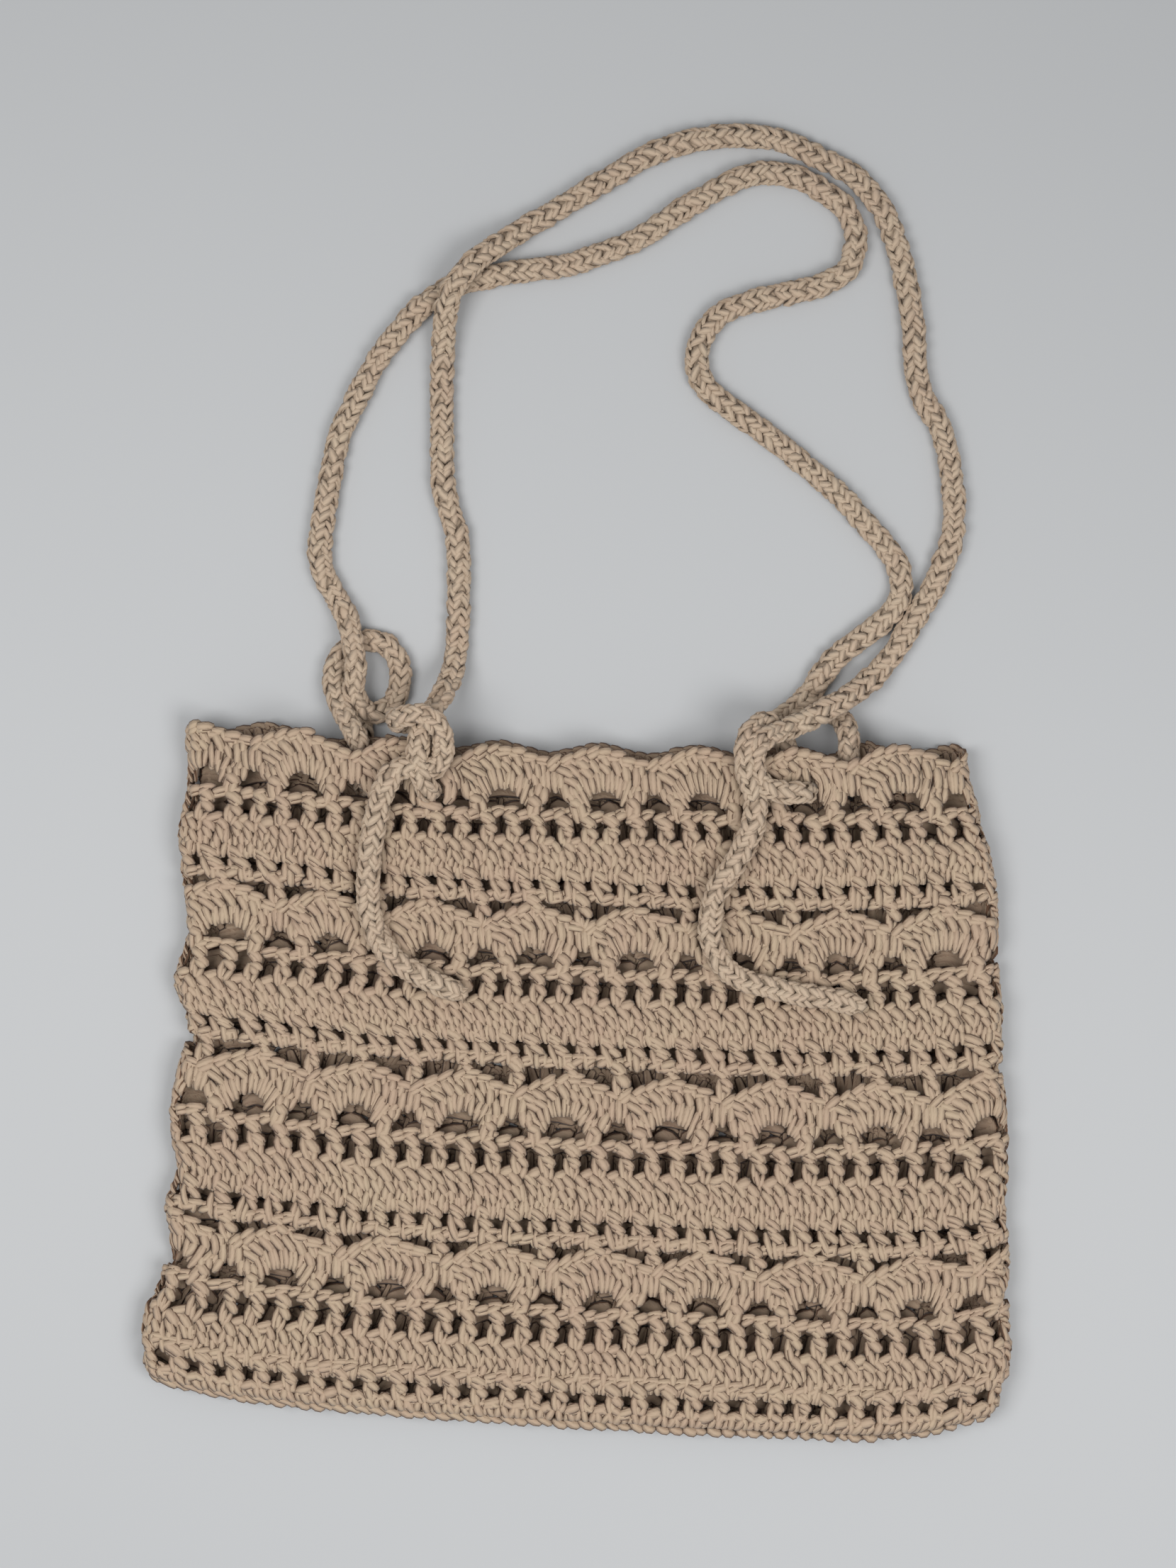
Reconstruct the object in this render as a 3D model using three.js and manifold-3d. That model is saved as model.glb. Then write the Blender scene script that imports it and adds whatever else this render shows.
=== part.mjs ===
// A crocheted tote bag lying flat on its back panel, with its two cord straps laid out above it.
// X runs across the bag, Y from the bottom seam towards the straps and Z up from the surface.
// Lengths are in millimetres.

import * as THREE from "three";
import { mergeVertices } from "three/addons/utils/BufferGeometryUtils.js";
import Module from "manifold-3d";

// Bag
const bagWidth = 350;
const bagHeight = 284;
const clothThickness = 4;
const innerRoom = 6;
const mouthRoom = 8;
const seamDepth = 9;
const foldedEdge = 3.2;
const ribRise = 0.6;

// Lace: shells repeat all the way round, in four rows
const shellsAround = 16;
const scallopRise = 6.8;
const scallopSteps = 6;
const panelShare = 0.978;
const backRimRise = 2;
const backRowRise = 5;
const backShift = 0.46;
const archWidth = 15;
const archHeight = 6.5;
const archShoulder = 0.36;
const archHaunch = 0.22;
const diamondWidth = 6;
const diamondHeight = 7.5;
const gapMargin = 4;

// Straps, and the room that their ties need at the mouth
const cordSides = 8;
const cordWidth = 9;
const cordThickness = 7;
const tiedWidth = 9;
const tiedThickness = 6.4;
const steepRun = 0.25;
const pieceGap = 0.3;
const tieLift = 8;
const liftFlat = 28;
const liftFoot = 60;
const liftStart = 0.74;
const liftEnd = 0.92;
const tieSpread = 9;
const tieEase = 1.2;

// Left and right edges as shares of the width, from the seam up to the rim
const sideTable = [
  { up: 0.0, left: -0.49, right: 0.5 },
  { up: 0.08, left: -0.524, right: 0.524 },
  { up: 0.15, left: -0.517, right: 0.52 },
  { up: 0.21, left: -0.494, right: 0.518 },
  { up: 0.27, left: -0.499, right: 0.519 },
  { up: 0.32, left: -0.482, right: 0.514 },
  { up: 0.4, left: -0.49, right: 0.519 },
  { up: 0.48, left: -0.481, right: 0.516 },
  { up: 0.55, left: -0.468, right: 0.512 },
  { up: 0.62, left: -0.485, right: 0.514 },
  { up: 0.69, left: -0.469, right: 0.508 },
  { up: 0.78, left: -0.474, right: 0.509 },
  { up: 0.85, left: -0.48, right: 0.503 },
  { up: 0.92, left: -0.468, right: 0.49 },
  { up: 1.0, left: -0.47, right: 0.476 },
];

// Seam and rim lines as shares of the height, from the left fold to the right one
const lineTable = [
  { across: -0.5, seam: 0.098, rim: 1.024 },
  { across: -0.4, seam: 0.052, rim: 1.021 },
  { across: -0.25, seam: 0.034, rim: 1.007 },
  { across: 0, seam: 0.018, rim: 0.998 },
  { across: 0.25, seam: 0.002, rim: 0.993 },
  { across: 0.4, seam: 0.008, rim: 0.998 },
  { across: 0.5, seam: 0.034, rim: 1.004 },
];

// One row of shells each: where the gaps lie up the bag, and the first arch as a share of a shell
const shellTable = [
  { arch: 0.186, diamond: 0.188, start: 0.11, rim: false },
  { arch: 0.448, diamond: 0.45, start: 0.76, rim: false },
  { arch: 0.705, diamond: 0.707, start: 0.43, rim: false },
  { arch: 0.943, diamond: 0.945, start: 0.23, rim: true },
];

// Where solid rows of stitches stand a little proud of the front, up the bag
const ribTable = [
  { up: 0.0, rise: 0 },
  { up: 0.08, rise: 1 },
  { up: 0.15, rise: 0.2 },
  { up: 0.22, rise: 0.8 },
  { up: 0.27, rise: 0 },
  { up: 0.34, rise: 1 },
  { up: 0.42, rise: 0.1 },
  { up: 0.49, rise: 0.8 },
  { up: 0.54, rise: 0 },
  { up: 0.61, rise: 1 },
  { up: 0.69, rise: 0.1 },
  { up: 0.76, rise: 0.8 },
  { up: 0.79, rise: 0 },
  { up: 0.86, rise: 1 },
  { up: 0.93, rise: 0.1 },
  { up: 1.0, rise: 0.8 },
];

// Places of the four ties along the rim, from the middle of the bag, and of the holes they go through
const tieBackLeft = -88;
const tieBackRight = 98;
const holeFrontLeft = -59.5;
const holeFrontRight = 97.5;
const holeBackRight = 113;
const frontHoleHeight = 122;
const backHoleHeight = 123.5;

// Routes of the cords, chosen by hand along their middle lines
const strapFrontRoute = [
  [-56, 161, 18], [-52, 170, 10], [-50, 182, 4.4], [-49, 198, 3.8], [-49, 217, 3.8], [-50, 232, 3.8],
  [-55, 248, 3.8], [-56, 271, 3.8], [-56, 295, 3.8], [-55, 316, 7.4], [-52, 331, 12.4], [-43, 344, 12],
  [-33, 352, 8.6], [-20, 361, 4.4], [-3, 371, 3.8], [15, 382, 3.8], [32, 392, 3.8], [48, 397, 3.8],
  [69, 400, 3.8], [87, 398, 3.8], [103, 391, 3.8], [118, 383, 3.8], [130, 370, 3.8], [137, 353, 3.8],
  [141, 337, 3.8], [144, 319, 3.8], [145, 301, 3.8], [148, 289, 3.8], [155, 277, 3.8], [159, 262, 3.8],
  [161, 247, 3.8], [161, 233, 3.8], [158, 221, 3.8], [150, 204, 3.8], [140, 187.5, 3.8], [132, 176, 4.4],
  [123, 167, 8], [113, 160, 13.6], [102, 154, 18], [92, 149, 21.4],
];
const strapBackRoute = [
  [-96, 195, 6], [-101, 204, 4], [-106, 213, 3.8], [-108, 223, 3.8], [-106, 239, 3.8], [-103, 257, 3.8],
  [-99, 274, 3.8], [-93, 287, 3.8], [-85, 302, 3.8], [-75, 316, 3.8], [-64, 328, 3.8], [-52, 336, 3.8],
  [-36, 340, 3.8], [-19, 343, 3.8], [-3, 345, 3.8], [12, 350, 3.8], [27, 356, 3.8], [42, 366, 3.8],
  [57, 375, 3.8], [71, 382, 3.8], [84, 384, 3.8], [95, 382, 3.8], [106, 376, 3.8], [115, 369, 3.8],
  [119, 360, 3.8], [119, 352, 3.8], [116, 343, 3.8], [106, 337, 3.8], [90, 333, 3.8], [73, 329, 3.8],
  [61, 323, 3.8], [54, 314, 3.8], [52, 304, 3.8], [56, 293, 3.8], [68, 283, 3.8], [83, 272, 3.8],
  [98, 260, 3.8], [111, 249, 3.8], [123, 236, 3.8], [132, 226, 3.8], [138, 215, 3.8], [138.6, 205, 3.8],
  [133, 196, 3.8], [125, 189, 3.8], [114, 181, 3.8], [106, 172, 3.8], [101, 164, 3.8],
];
const tailLeftRoute = [
  [-76, 129, 29], [-80, 119, 28.8], [-83, 108, 28.2], [-85, 96, 26], [-86, 82, 22.2], [-85, 69, 19.4],
  [-78, 54, 18.6], [-67, 46, 18.6], [-57, 41, 18.7], [-47, 37, 18.7],
];
const tailRightRoute = [
  [76, 118, 29], [74, 106, 28.4], [67, 92, 26.2], [59, 78, 22], [57, 62, 19], [61, 51, 18.6],
  [70, 43, 18.6], [81, 40, 18.7], [93, 37, 18.7], [107, 35, 18.8], [120, 32, 18.8],
];
const knotFrontLeftRoutes = [
  [[-56, 161, 18], [-60, 154, 23], [-64, 146, 28], [-65, 135, 29], [-62, 125, 28.4], [-59.5, 121, 24],
    [-59.5, 121.5, 18.6], [-61, 127, 15.8], [-62, 137, 15.8], [-64, 147, 16.4], [-71, 151, 20]],
  [[-71, 151, 20], [-75, 151, 25], [-70, 153, 31], [-61, 154, 33], [-53, 149, 31.5], [-51, 141, 29],
    [-54, 134, 28], [-62, 131, 29], [-70, 132, 29], [-76, 129, 29]],
];
const knotFrontRightRoutes = [
  [[92, 149, 21.4], [84, 146, 26], [77, 141, 30], [75, 133, 29], [78, 125, 28.6], [87, 121.4, 28.4],
    [95, 121, 26.8], [98.5, 121.6, 21.6], [96, 125, 16.8], [93, 131, 16], [90, 138, 15.9], [87, 147, 16.6],
    [80, 151, 21], [74, 147, 27], [71, 138, 30], [72, 128, 30], [76, 118, 29]],
];
const knotBackLeftRoutes = [
  [[-96, 195, 6], [-94, 187, 9], [-92, 174, 11.4], [-93, 163, 9], [-87, 155, 5], [-78, 158, 4],
    [-74, 167, 3.8], [-75, 178, 3.8], [-82, 185, 3.8], [-92, 185, 3.6], [-100, 178, 3.8], [-102, 169, 5],
    [-100, 160, 8], [-96, 152, 12], [-91, 144, 15.6], [-88.5, 135, 16], [-88, 127, 15],
    [-88, 122.4, 10], [-88.5, 127, 4.6], [-89, 138, 3.5], [-90, 150, 3.5], [-91, 160, 5]],
];
const knotBackRightRoutes = [
  [[101, 164, 3.8], [93, 157, 3.6], [86, 150, 3.5], [83, 142, 3.5], [86, 132, 3.5], [95, 126, 3.5],
    [106, 123.6, 4.6], [113.5, 123.6, 10], [115, 128, 15], [115.5, 136, 15.8], [115.5, 145, 13.4],
    [113, 152, 7], [107, 156, 3.8], [98, 160, 3.8]],
];

const wasm = await Module();
wasm.setup();

// A smooth curve through the rows of a table, read at one place
function look(table, key, column, at) {
  const last = table.length - 1;
  const place = Math.min(Math.max(at, table[0][key]), table[last][key]);
  let row = 0;
  while (row < last - 1 && table[row + 1][key] < place) row += 1;
  const slope = (index) => {
    const before = table[Math.max(index - 1, 0)];
    const after = table[Math.min(index + 1, last)];
    return (after[column] - before[column]) / (after[key] - before[key]);
  };
  const from = table[row];
  const to = table[row + 1];
  const span = to[key] - from[key];
  const t = (place - from[key]) / span;
  const rest = 1 - t;
  return from[column] * rest * rest * (1 + 2 * t) + to[column] * t * t * (3 - 2 * t)
    + span * (slope(row) * rest * rest * t - slope(row + 1) * t * t * rest);
}

// Edges, lines and heights of the bag, up from the seam and across from its middle
const baseY = -bagHeight / 2 - 8;
const leftEdge = (up) => bagWidth * look(sideTable, "up", "left", up);
const rightEdge = (up) => bagWidth * look(sideTable, "up", "right", up);
const seamLine = (across) => baseY + bagHeight * look(lineTable, "across", "seam", across);
const rimLine = (across) => baseY + bagHeight * look(lineTable, "across", "rim", across);
const lineAt = (across, up) => seamLine(across) * (1 - up) + rimLine(across) * up;

function acrossAt(x, up) {
  return (x - leftEdge(up)) / (rightEdge(up) - leftEdge(up)) - 0.5;
}

// The panels rise over the cords that are tied under the back rim
function lift(x, up) {
  const near = Math.min(Math.abs(x - tieBackLeft), Math.abs(x - tieBackRight));
  const beside = 1 - THREE.MathUtils.smoothstep(near, liftFlat, liftFoot);
  return tieLift * beside * THREE.MathUtils.smoothstep(up, liftStart, liftEnd);
}

function room(up) {
  return innerRoom + (mouthRoom - innerRoom) * THREE.MathUtils.smoothstep(up, liftStart, liftEnd);
}

// How full the section is: it closes in a rounded edge at the seam
function fullness(height) {
  const t = THREE.MathUtils.clamp(height / seamDepth, 0, 1);
  return Math.sqrt(1 - (1 - t) * (1 - t));
}

const thickness = (up) => 2 * clothThickness + room(up);
const throughPanel = 3 * thickness(1);
const shellPitch = (up) => (2 * (rightEdge(up) - leftEdge(up) - thickness(up))
  + Math.PI * thickness(up)) / shellsAround;

// Places of shells across one panel, counted round from the left fold: they lie a little closer
// together on the flat of a panel than round its folds
const middleTurn = shellsAround / 4;
const middleAt = (up) => (leftEdge(up) + rightEdge(up)) / 2;

function shellPlace(turn, up) {
  return middleAt(up) + (turn - middleTurn) * panelShare * shellPitch(up);
}

function shellTurn(x, up) {
  return middleTurn + (x - middleAt(up)) / (panelShare * shellPitch(up));
}

// A closed mesh as a solid for joining and cutting, and back again
function solidFrom(geometry) {
  const bare = geometry.index ? geometry.toNonIndexed() : geometry.clone();
  bare.deleteAttribute("normal");
  bare.deleteAttribute("uv");
  const merged = mergeVertices(bare, 1e-4);
  const indices = [];
  for (let i = 0; i < merged.index.count; i += 3) {
    const [a, b, c] = [0, 1, 2].map((corner) => merged.index.getX(i + corner));
    if (a !== b && b !== c && c !== a) indices.push(a, b, c);
  }
  return new wasm.Manifold(new wasm.Mesh({
    numProp: 3,
    vertProperties: new Float32Array(merged.attributes.position.array),
    triVerts: new Uint32Array(indices),
  }));
}

function geometryFrom(solid) {
  const mesh = solid.getMesh();
  const geometry = new THREE.BufferGeometry();
  geometry.setAttribute("position", new THREE.BufferAttribute(mesh.vertProperties, 3));
  geometry.setIndex(new THREE.BufferAttribute(mesh.triVerts, 1));
  geometry.computeVertexNormals();
  return geometry;
}

// Where a column stands on the pressed section: along a flat panel, or out round a fold
function columnPlace(column, panelSteps, foldSteps) {
  const half = panelSteps / 2;
  const backStart = half + foldSteps;
  const leftStart = backStart + panelSteps;
  if (column <= half) return { share: column / panelSteps, out: 0, rise: 1 };
  if (column < backStart) {
    const angle = (Math.PI * (column - half)) / foldSteps;
    return { share: 0.5, out: Math.sin(angle), rise: Math.cos(angle) };
  }
  if (column <= leftStart) return { share: 0.5 - (column - backStart) / panelSteps, out: 0, rise: -1 };
  if (column < leftStart + foldSteps) {
    const angle = (Math.PI * (column - leftStart)) / foldSteps;
    return { share: -0.5, out: -Math.sin(angle), rise: -Math.cos(angle) };
  }
  return { share: (column - leftStart - foldSteps) / panelSteps - 0.5, out: 0, rise: 1 };
}

// One flattened tube, a cylinder pressed to the bag's section at each ring
function pressedTube(rings, panelSteps, foldSteps, inset, ribs) {
  const columns = 2 * (panelSteps + foldSteps);
  const geometry = new THREE.CylinderGeometry(1, 1, 1, columns, rings.length - 1, true);
  const { position, uv } = geometry.attributes;
  for (let i = 0; i < position.count; i += 1) {
    const column = Math.round(uv.getX(i) * columns) % columns;
    const { up, full, shift } = rings[Math.round(uv.getY(i) * (rings.length - 1))];
    const { share, out, rise } = columnPlace(column, panelSteps, foldSteps);
    const middle = thickness(up) / 2;
    const radius = (middle - inset) * full;
    const indent = middle * full + foldedEdge * (1 - full);
    const left = leftEdge(up) + indent;
    const right = rightEdge(up) - indent;
    const x = THREE.MathUtils.lerp(left, right, share + 0.5) + radius * out;
    const rib = rise === 1 ? ribs * look(ribTable, "up", "rise", up) * full : 0;
    const z = lift(x, up) + middle + rise * radius + rib;
    position.setXYZ(i, x, lineAt(acrossAt(x, up), up) + shift, z);
  }
  return solidFrom(geometry);
}

// Columns round the section
const outerSteps = { panel: 20, fold: 5 };
const innerSteps = { panel: 20, fold: 3 };

// Rings up the outside and up the hollow: both run past the rim, where the scallops cut them off
const overRim = 1.06;
const outerUps = [0.02, 0.05, 0.08, 0.12, 0.16, 0.21, 0.27, 0.32, 0.4, 0.48, 0.55, 0.62, 0.69, 0.74, 0.79,
  0.83, 0.88, 0.92, 0.96, overRim];
const innerUps = [0.05, 0.08, 0.16, 0.27, 0.4, 0.48, 0.55, 0.62, 0.69, 0.74, 0.79, 0.83, 0.88, 0.92, 0.96,
  overRim];

const outerRings = [
  { up: 0, full: 0, shift: 0 },
  { up: 0, full: fullness(seamDepth * 0.12), shift: seamDepth * 0.12 },
  { up: 0, full: fullness(seamDepth * 0.4), shift: seamDepth * 0.4 },
  ...outerUps.map((up) => ({ up, full: fullness(up * bagHeight + seamDepth * 0.5), shift: 0 })),
  { up: overRim, full: 0, shift: clothThickness },
];
const innerRings = [
  { up: 0, full: 0, shift: seamDepth },
  ...innerUps.map((up) => ({ up, full: 1, shift: 0 })),
  { up: overRim, full: 0, shift: clothThickness },
];

// Everything above the scalloped edge of one panel: a box bent to the edge and to the lifted panels
function aboveScallops(side) {
  const rim = shellTable.find((row) => row.rim);
  const from = leftEdge(1) - clothThickness;
  const to = rightEdge(1) + clothThickness;
  const steps = Math.round(((to - from) / shellPitch(1)) * scallopSteps);
  const geometry = new THREE.BoxGeometry(1, 1, 1, steps, 1, 1);
  const { position } = geometry.attributes;
  for (let i = 0; i < position.count; i += 1) {
    const x = THREE.MathUtils.lerp(from, to, position.getX(i) + 0.5);
    const turn = side * shellTurn(x, 1) - rim.start + (side < 0 ? backShift : 0);
    const offCentre = 2 * (turn - Math.floor(turn + 0.5));
    const scallop = scallopRise * (1 - offCentre * offCentre) + (side < 0 ? backRimRise : 0);
    const edge = rimLine(acrossAt(x, 1)) + scallop;
    const y = position.getY(i) < 0 ? edge : rimLine(0) + bagHeight / 4;
    const far = side * position.getZ(i) > 0 ? side * throughPanel : 0;
    position.setXYZ(i, x, y, lift(x, 1) + thickness(1) / 2 + far);
  }
  return solidFrom(geometry);
}

// A cutter through one panel only: it starts half-way down the hollow
function panelCutter(shape, side, x, up) {
  const geometry = new THREE.ExtrudeGeometry(shape, { depth: throughPanel, bevelEnabled: false, steps: 1 });
  const middle = lift(x, up) + thickness(up) / 2;
  geometry.translate(0, 0, side > 0 ? middle : middle - throughPanel);
  return solidFrom(geometry);
}

// Outlines of the gaps: an arch under each shell, a diamond between two shells
function archShape(x, y) {
  const shape = new THREE.Shape();
  shape.moveTo(x - archWidth / 2, y - archHeight / 2);
  shape.lineTo(x + archWidth / 2, y - archHeight / 2);
  shape.lineTo(x + archWidth * archShoulder, y + archHeight * archHaunch);
  shape.lineTo(x, y + archHeight / 2);
  shape.lineTo(x - archWidth * archShoulder, y + archHeight * archHaunch);
  return shape;
}

function diamondShape(x, y) {
  const shape = new THREE.Shape();
  shape.moveTo(x - diamondWidth / 2, y - diamondHeight / 2);
  shape.lineTo(x + diamondWidth / 2, y - diamondHeight / 2);
  shape.lineTo(x, y + diamondHeight / 2);
  return shape;
}

// Where the ties pass through the lace under the rim, which leaves no room for other gaps
const tiePlaces = [
  { x: holeFrontLeft, y: frontHoleHeight, side: 1 },
  { x: holeFrontRight, y: frontHoleHeight, side: 1 },
  { x: tieBackLeft, y: backHoleHeight, side: -1 },
  { x: holeBackRight, y: backHoleHeight, side: -1 },
];

function tieShape({ x, y }) {
  const shape = new THREE.Shape();
  shape.moveTo(x - tiedWidth / 2 - tieEase, y - tiedThickness / 2 - tieEase);
  shape.lineTo(x + tiedWidth / 2 + tieEase, y - tiedThickness / 2 - tieEase);
  shape.lineTo(x + tiedWidth / 2 + tieEase, y + tiedThickness / 2 + tieEase);
  shape.lineTo(x - tiedWidth / 2 - tieEase, y + tiedThickness / 2 + tieEase);
  return shape;
}

function tieCutters() {
  return tiePlaces.map((place) => panelCutter(tieShape(place), place.side, place.x, 1));
}

function laceCutters() {
  const cutters = [];
  for (const side of [1, -1]) {
    for (const row of shellTable) {
      for (let shell = -1; shell <= shellsAround; shell += 1) {
        const kinds = [
          { up: row.arch, turn: shell + row.start, width: archWidth, shape: archShape },
          { up: row.diamond, turn: shell + row.start + 0.5, width: diamondWidth, shape: diamondShape },
        ];
        for (const { up, turn, width, shape } of kinds) {
          const x = shellPlace(side > 0 ? turn : shellsAround - turn + backShift, up);
          const inset = thickness(up) / 2 + width / 2 + gapMargin;
          const clearOfFolds = x > leftEdge(up) + inset && x < rightEdge(up) - inset;
          const clearOfTies = tiePlaces.every((tie) => tie.side !== side || !row.rim
            || Math.abs(tie.x - x) > tieSpread + width / 2);
          if (clearOfFolds && clearOfTies) {
            const y = lineAt(acrossAt(x, up), up) + (side < 0 ? backRowRise : 0);
            cutters.push(panelCutter(shape(x, y), side, x, up));
          }
        }
      }
    }
  }
  return cutters;
}

// The biggest body of a cut solid, without the flakes that crossing cuts leave
function biggest(solid) {
  return solid.decompose().reduce((most, part) => (part.volume() > most.volume() ? part : most));
}

function bagBody(ties) {
  const outer = pressedTube(outerRings, outerSteps.panel, outerSteps.fold, 0, ribRise);
  const hollow = pressedTube(innerRings, innerSteps.panel, innerSteps.fold, clothThickness, 0);
  let body = outer.subtract(hollow);
  for (const side of [1, -1]) {
    body = body.subtract(aboveScallops(side));
  }
  for (const cutter of [...laceCutters(), ...tieCutters(), ...ties]) {
    body = body.subtract(cutter);
  }
  return biggest(body);
}

// A route that carries its section level, with the wide side lying flat wherever it can
class LevelRoute extends THREE.CatmullRomCurve3 {
  computeFrenetFrames(steps) {
    const up = new THREE.Vector3(0, 0, 1);
    const frames = { tangents: [], normals: [], binormals: [] };
    let side = new THREE.Vector3();
    for (let step = 0; step <= steps; step += 1) {
      const tangent = this.getTangentAt(step / steps);
      const level = up.clone().cross(tangent);
      if (level.length() > steepRun || step === 0) {
        side = level.dot(side) < 0 ? level.negate() : level;
      } else {
        side = side.clone().addScaledVector(tangent, -side.dot(tangent));
      }
      side.normalize();
      frames.tangents.push(tangent);
      frames.normals.push(tangent.clone().cross(side));
      frames.binormals.push(tangent.clone().cross(frames.normals[step]));
    }
    return frames;
  }
}

// A cord: an oval section run along its route, and past both ends of it by a little more
function cord(route, width, depth, steps, more) {
  const points = route.map(([x, y, z]) => new THREE.Vector3(x, y, z));
  const ends = [[0, 1], [points.length - 1, points.length - 2]];
  for (const [end, next] of ends) {
    points[end].addScaledVector(points[end].clone().sub(points[next]).normalize(), more);
  }
  const section = new THREE.Shape();
  for (let side = 0; side < cordSides; side += 1) {
    const angle = (2 * Math.PI * (side + 0.5)) / cordSides;
    const at = [(depth / 2) * Math.cos(angle), (width / 2) * Math.sin(angle)];
    if (side === 0) section.moveTo(...at);
    else section.lineTo(...at);
  }
  const extrudePath = new LevelRoute(points, false, "centripetal");
  return solidFrom(new THREE.ExtrudeGeometry(section, { steps, bevelEnabled: false, extrudePath }));
}

// A tie: one or two lengths of cord pressed into one, grown by the gap that its neighbours keep
function tie({ routes, steps }, gap) {
  return routes
    .map((route) => cord(route, tiedWidth + 2 * gap, tiedThickness + 2 * gap, steps, gap))
    .reduce((joined, next) => joined.add(next));
}

const ties = {
  knot_front_left: { routes: knotFrontLeftRoutes, steps: 18 },
  knot_front_right: { routes: knotFrontRightRoutes, steps: 28 },
  knot_back_left: { routes: knotBackLeftRoutes, steps: 38 },
  knot_back_right: { routes: knotBackRightRoutes, steps: 26 },
};

// A strap or a tail, cut back from the ties that it runs into
function freeCord(route, steps, names) {
  const whole = cord(route, cordWidth, cordThickness, steps, 0);
  return biggest(names.reduce((left, name) => left.subtract(tie(ties[name], pieceGap)), whole));
}

const bag = new THREE.Group();

function addPiece(name, solid, color) {
  const material = new THREE.MeshStandardMaterial({ color, roughness: 0.9, metalness: 0 });
  const mesh = new THREE.Mesh(geometryFrom(solid), material);
  mesh.name = name;
  bag.add(mesh);
}

const cottonColor = 0xb8a48c;
const knotColor = 0xb29e86;

addPiece("bag_body", bagBody(Object.values(ties).map((one) => tie(one, pieceGap))), cottonColor);
addPiece("strap_front", freeCord(strapFrontRoute, 34, ["knot_front_left", "knot_front_right"]), cottonColor);
addPiece("strap_back", freeCord(strapBackRoute, 36, ["knot_back_left", "knot_back_right"]), cottonColor);
addPiece("tail_front_left", freeCord(tailLeftRoute, 8, ["knot_front_left"]), cottonColor);
addPiece("tail_front_right", freeCord(tailRightRoute, 9, ["knot_front_right"]), cottonColor);
for (const [name, one] of Object.entries(ties)) addPiece(name, tie(one, 0), knotColor);

export default bag;
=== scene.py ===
import math

import bpy
import numpy as np
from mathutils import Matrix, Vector


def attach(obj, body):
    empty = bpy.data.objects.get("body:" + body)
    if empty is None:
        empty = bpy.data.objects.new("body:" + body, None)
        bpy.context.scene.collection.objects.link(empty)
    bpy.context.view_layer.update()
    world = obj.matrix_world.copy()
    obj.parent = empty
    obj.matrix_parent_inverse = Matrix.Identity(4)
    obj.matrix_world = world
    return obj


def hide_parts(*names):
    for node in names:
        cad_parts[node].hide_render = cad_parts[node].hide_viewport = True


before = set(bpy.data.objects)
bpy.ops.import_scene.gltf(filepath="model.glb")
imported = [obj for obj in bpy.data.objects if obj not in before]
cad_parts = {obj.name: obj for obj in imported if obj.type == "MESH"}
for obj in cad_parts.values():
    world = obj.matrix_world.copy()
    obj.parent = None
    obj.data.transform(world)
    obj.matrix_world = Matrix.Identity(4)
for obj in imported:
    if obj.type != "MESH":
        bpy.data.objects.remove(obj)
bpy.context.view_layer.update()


# The bag's cloth
# The real bag is one flattened tube of cotton lace, crocheted in the round from a closed seam.
# Every stitch is laid on that tube by its turn round the bag, its share of the height, and how
# far it stands out of the wall.

BAG_WIDTH = 0.350
BAG_HEIGHT = 0.284
SEAM_Y = -0.150
WALL = 0.004
ROOM = (0.006, 0.008)
SEAM_ROUNDING = 0.0062
SEAM_EDGE = 0.0032
SEAM_RADIUS = SEAM_EDGE * 0.3
RIB_RISE = 0.0006
SHELLS_AROUND = 16
STITCHES_PER_SHELL = 8

# Half the width of a strand, a layer of them, and how near the table a strand's middle comes
YARN = 0.0016
LAYER = 0.0010
PRESSED = 0.0012
PRESS_SOFTNESS = YARN / 4
LEAST_REACH = YARN * 0.7

# Left and right edges as shares of the width, from the seam up to the rim
SIDES = {
    "up": (0, .08, .15, .21, .27, .32, .4, .48, .55, .62, .69, .78, .85, .92, 1),
    "left": (-.520, -.522, -.502, -.489, -.495, -.482, -.49, -.481, -.468, -.485, -.469, -.474, -.48,
             -.468, -.47),
    "right": (.508, .528, .526, .526, .526, .522, .526, .523, .518, .519, .514, .513, .506, .49, .476),
}

# Seam and rim lines as shares of the height, from the left fold to the right one
LINES = {
    "across": (-.5, -.46, -.4, -.25, 0, .25, .4, .5),
    "seam": (.090, .074, .059, .039, .018, .002, .001, .030),
    "rim": (1.033, 1.033, 1.030, 1.009, .998, .993, .998, .998),
}

# Where solid rounds stand a little proud of the front
RIBS = {
    "up": (0, .08, .15, .22, .27, .34, .42, .49, .54, .61, .69, .76, .79, .86, .93, 1),
    "rise": (0, 1, .2, .8, 0, 1, .1, .8, 0, 1, .1, .8, 0, 1, .1, .8),
}

# The panels rise over the cords tied under the back rim
TIE_LIFT = 0.008
TIES_UNDER = (-0.088, 0.098)
LIFT_FLAT = 0.028
LIFT_FOOT = 0.060
LIFT_SPAN = (0.74, 0.92)

# Where a cord goes through the lace, the stitches part round it: place, and which panel
TIE_HOLES = ((-0.0595, 0.122, 1), (0.0975, 0.122, 1), (-0.088, 0.1235, -1), (0.113, 0.1235, -1))
HOLE_HALF = (0.0064, 0.0052)
HOLE_REACH = 2.2
HOLE_HEART = 0.05
ON_PANEL = 0.5

# Shells lie a little closer together on the flat of a panel than round its folds
PANEL_SHARE = 0.978
PANEL_RUN = 3.4

# The back panel's rounds lie a little higher than the front's, and are slid along under them
BACK_RISE = 0.0068
BACK_RIM_RISE = 0.0015
RIM_SPAN = (0.97, 1.02)
SEAM_SPAN = (0, 0.12)
RISE_RUN = 1.2
BACK_SLIDE = -0.46
SLIDE_RUN = 3.0


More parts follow.
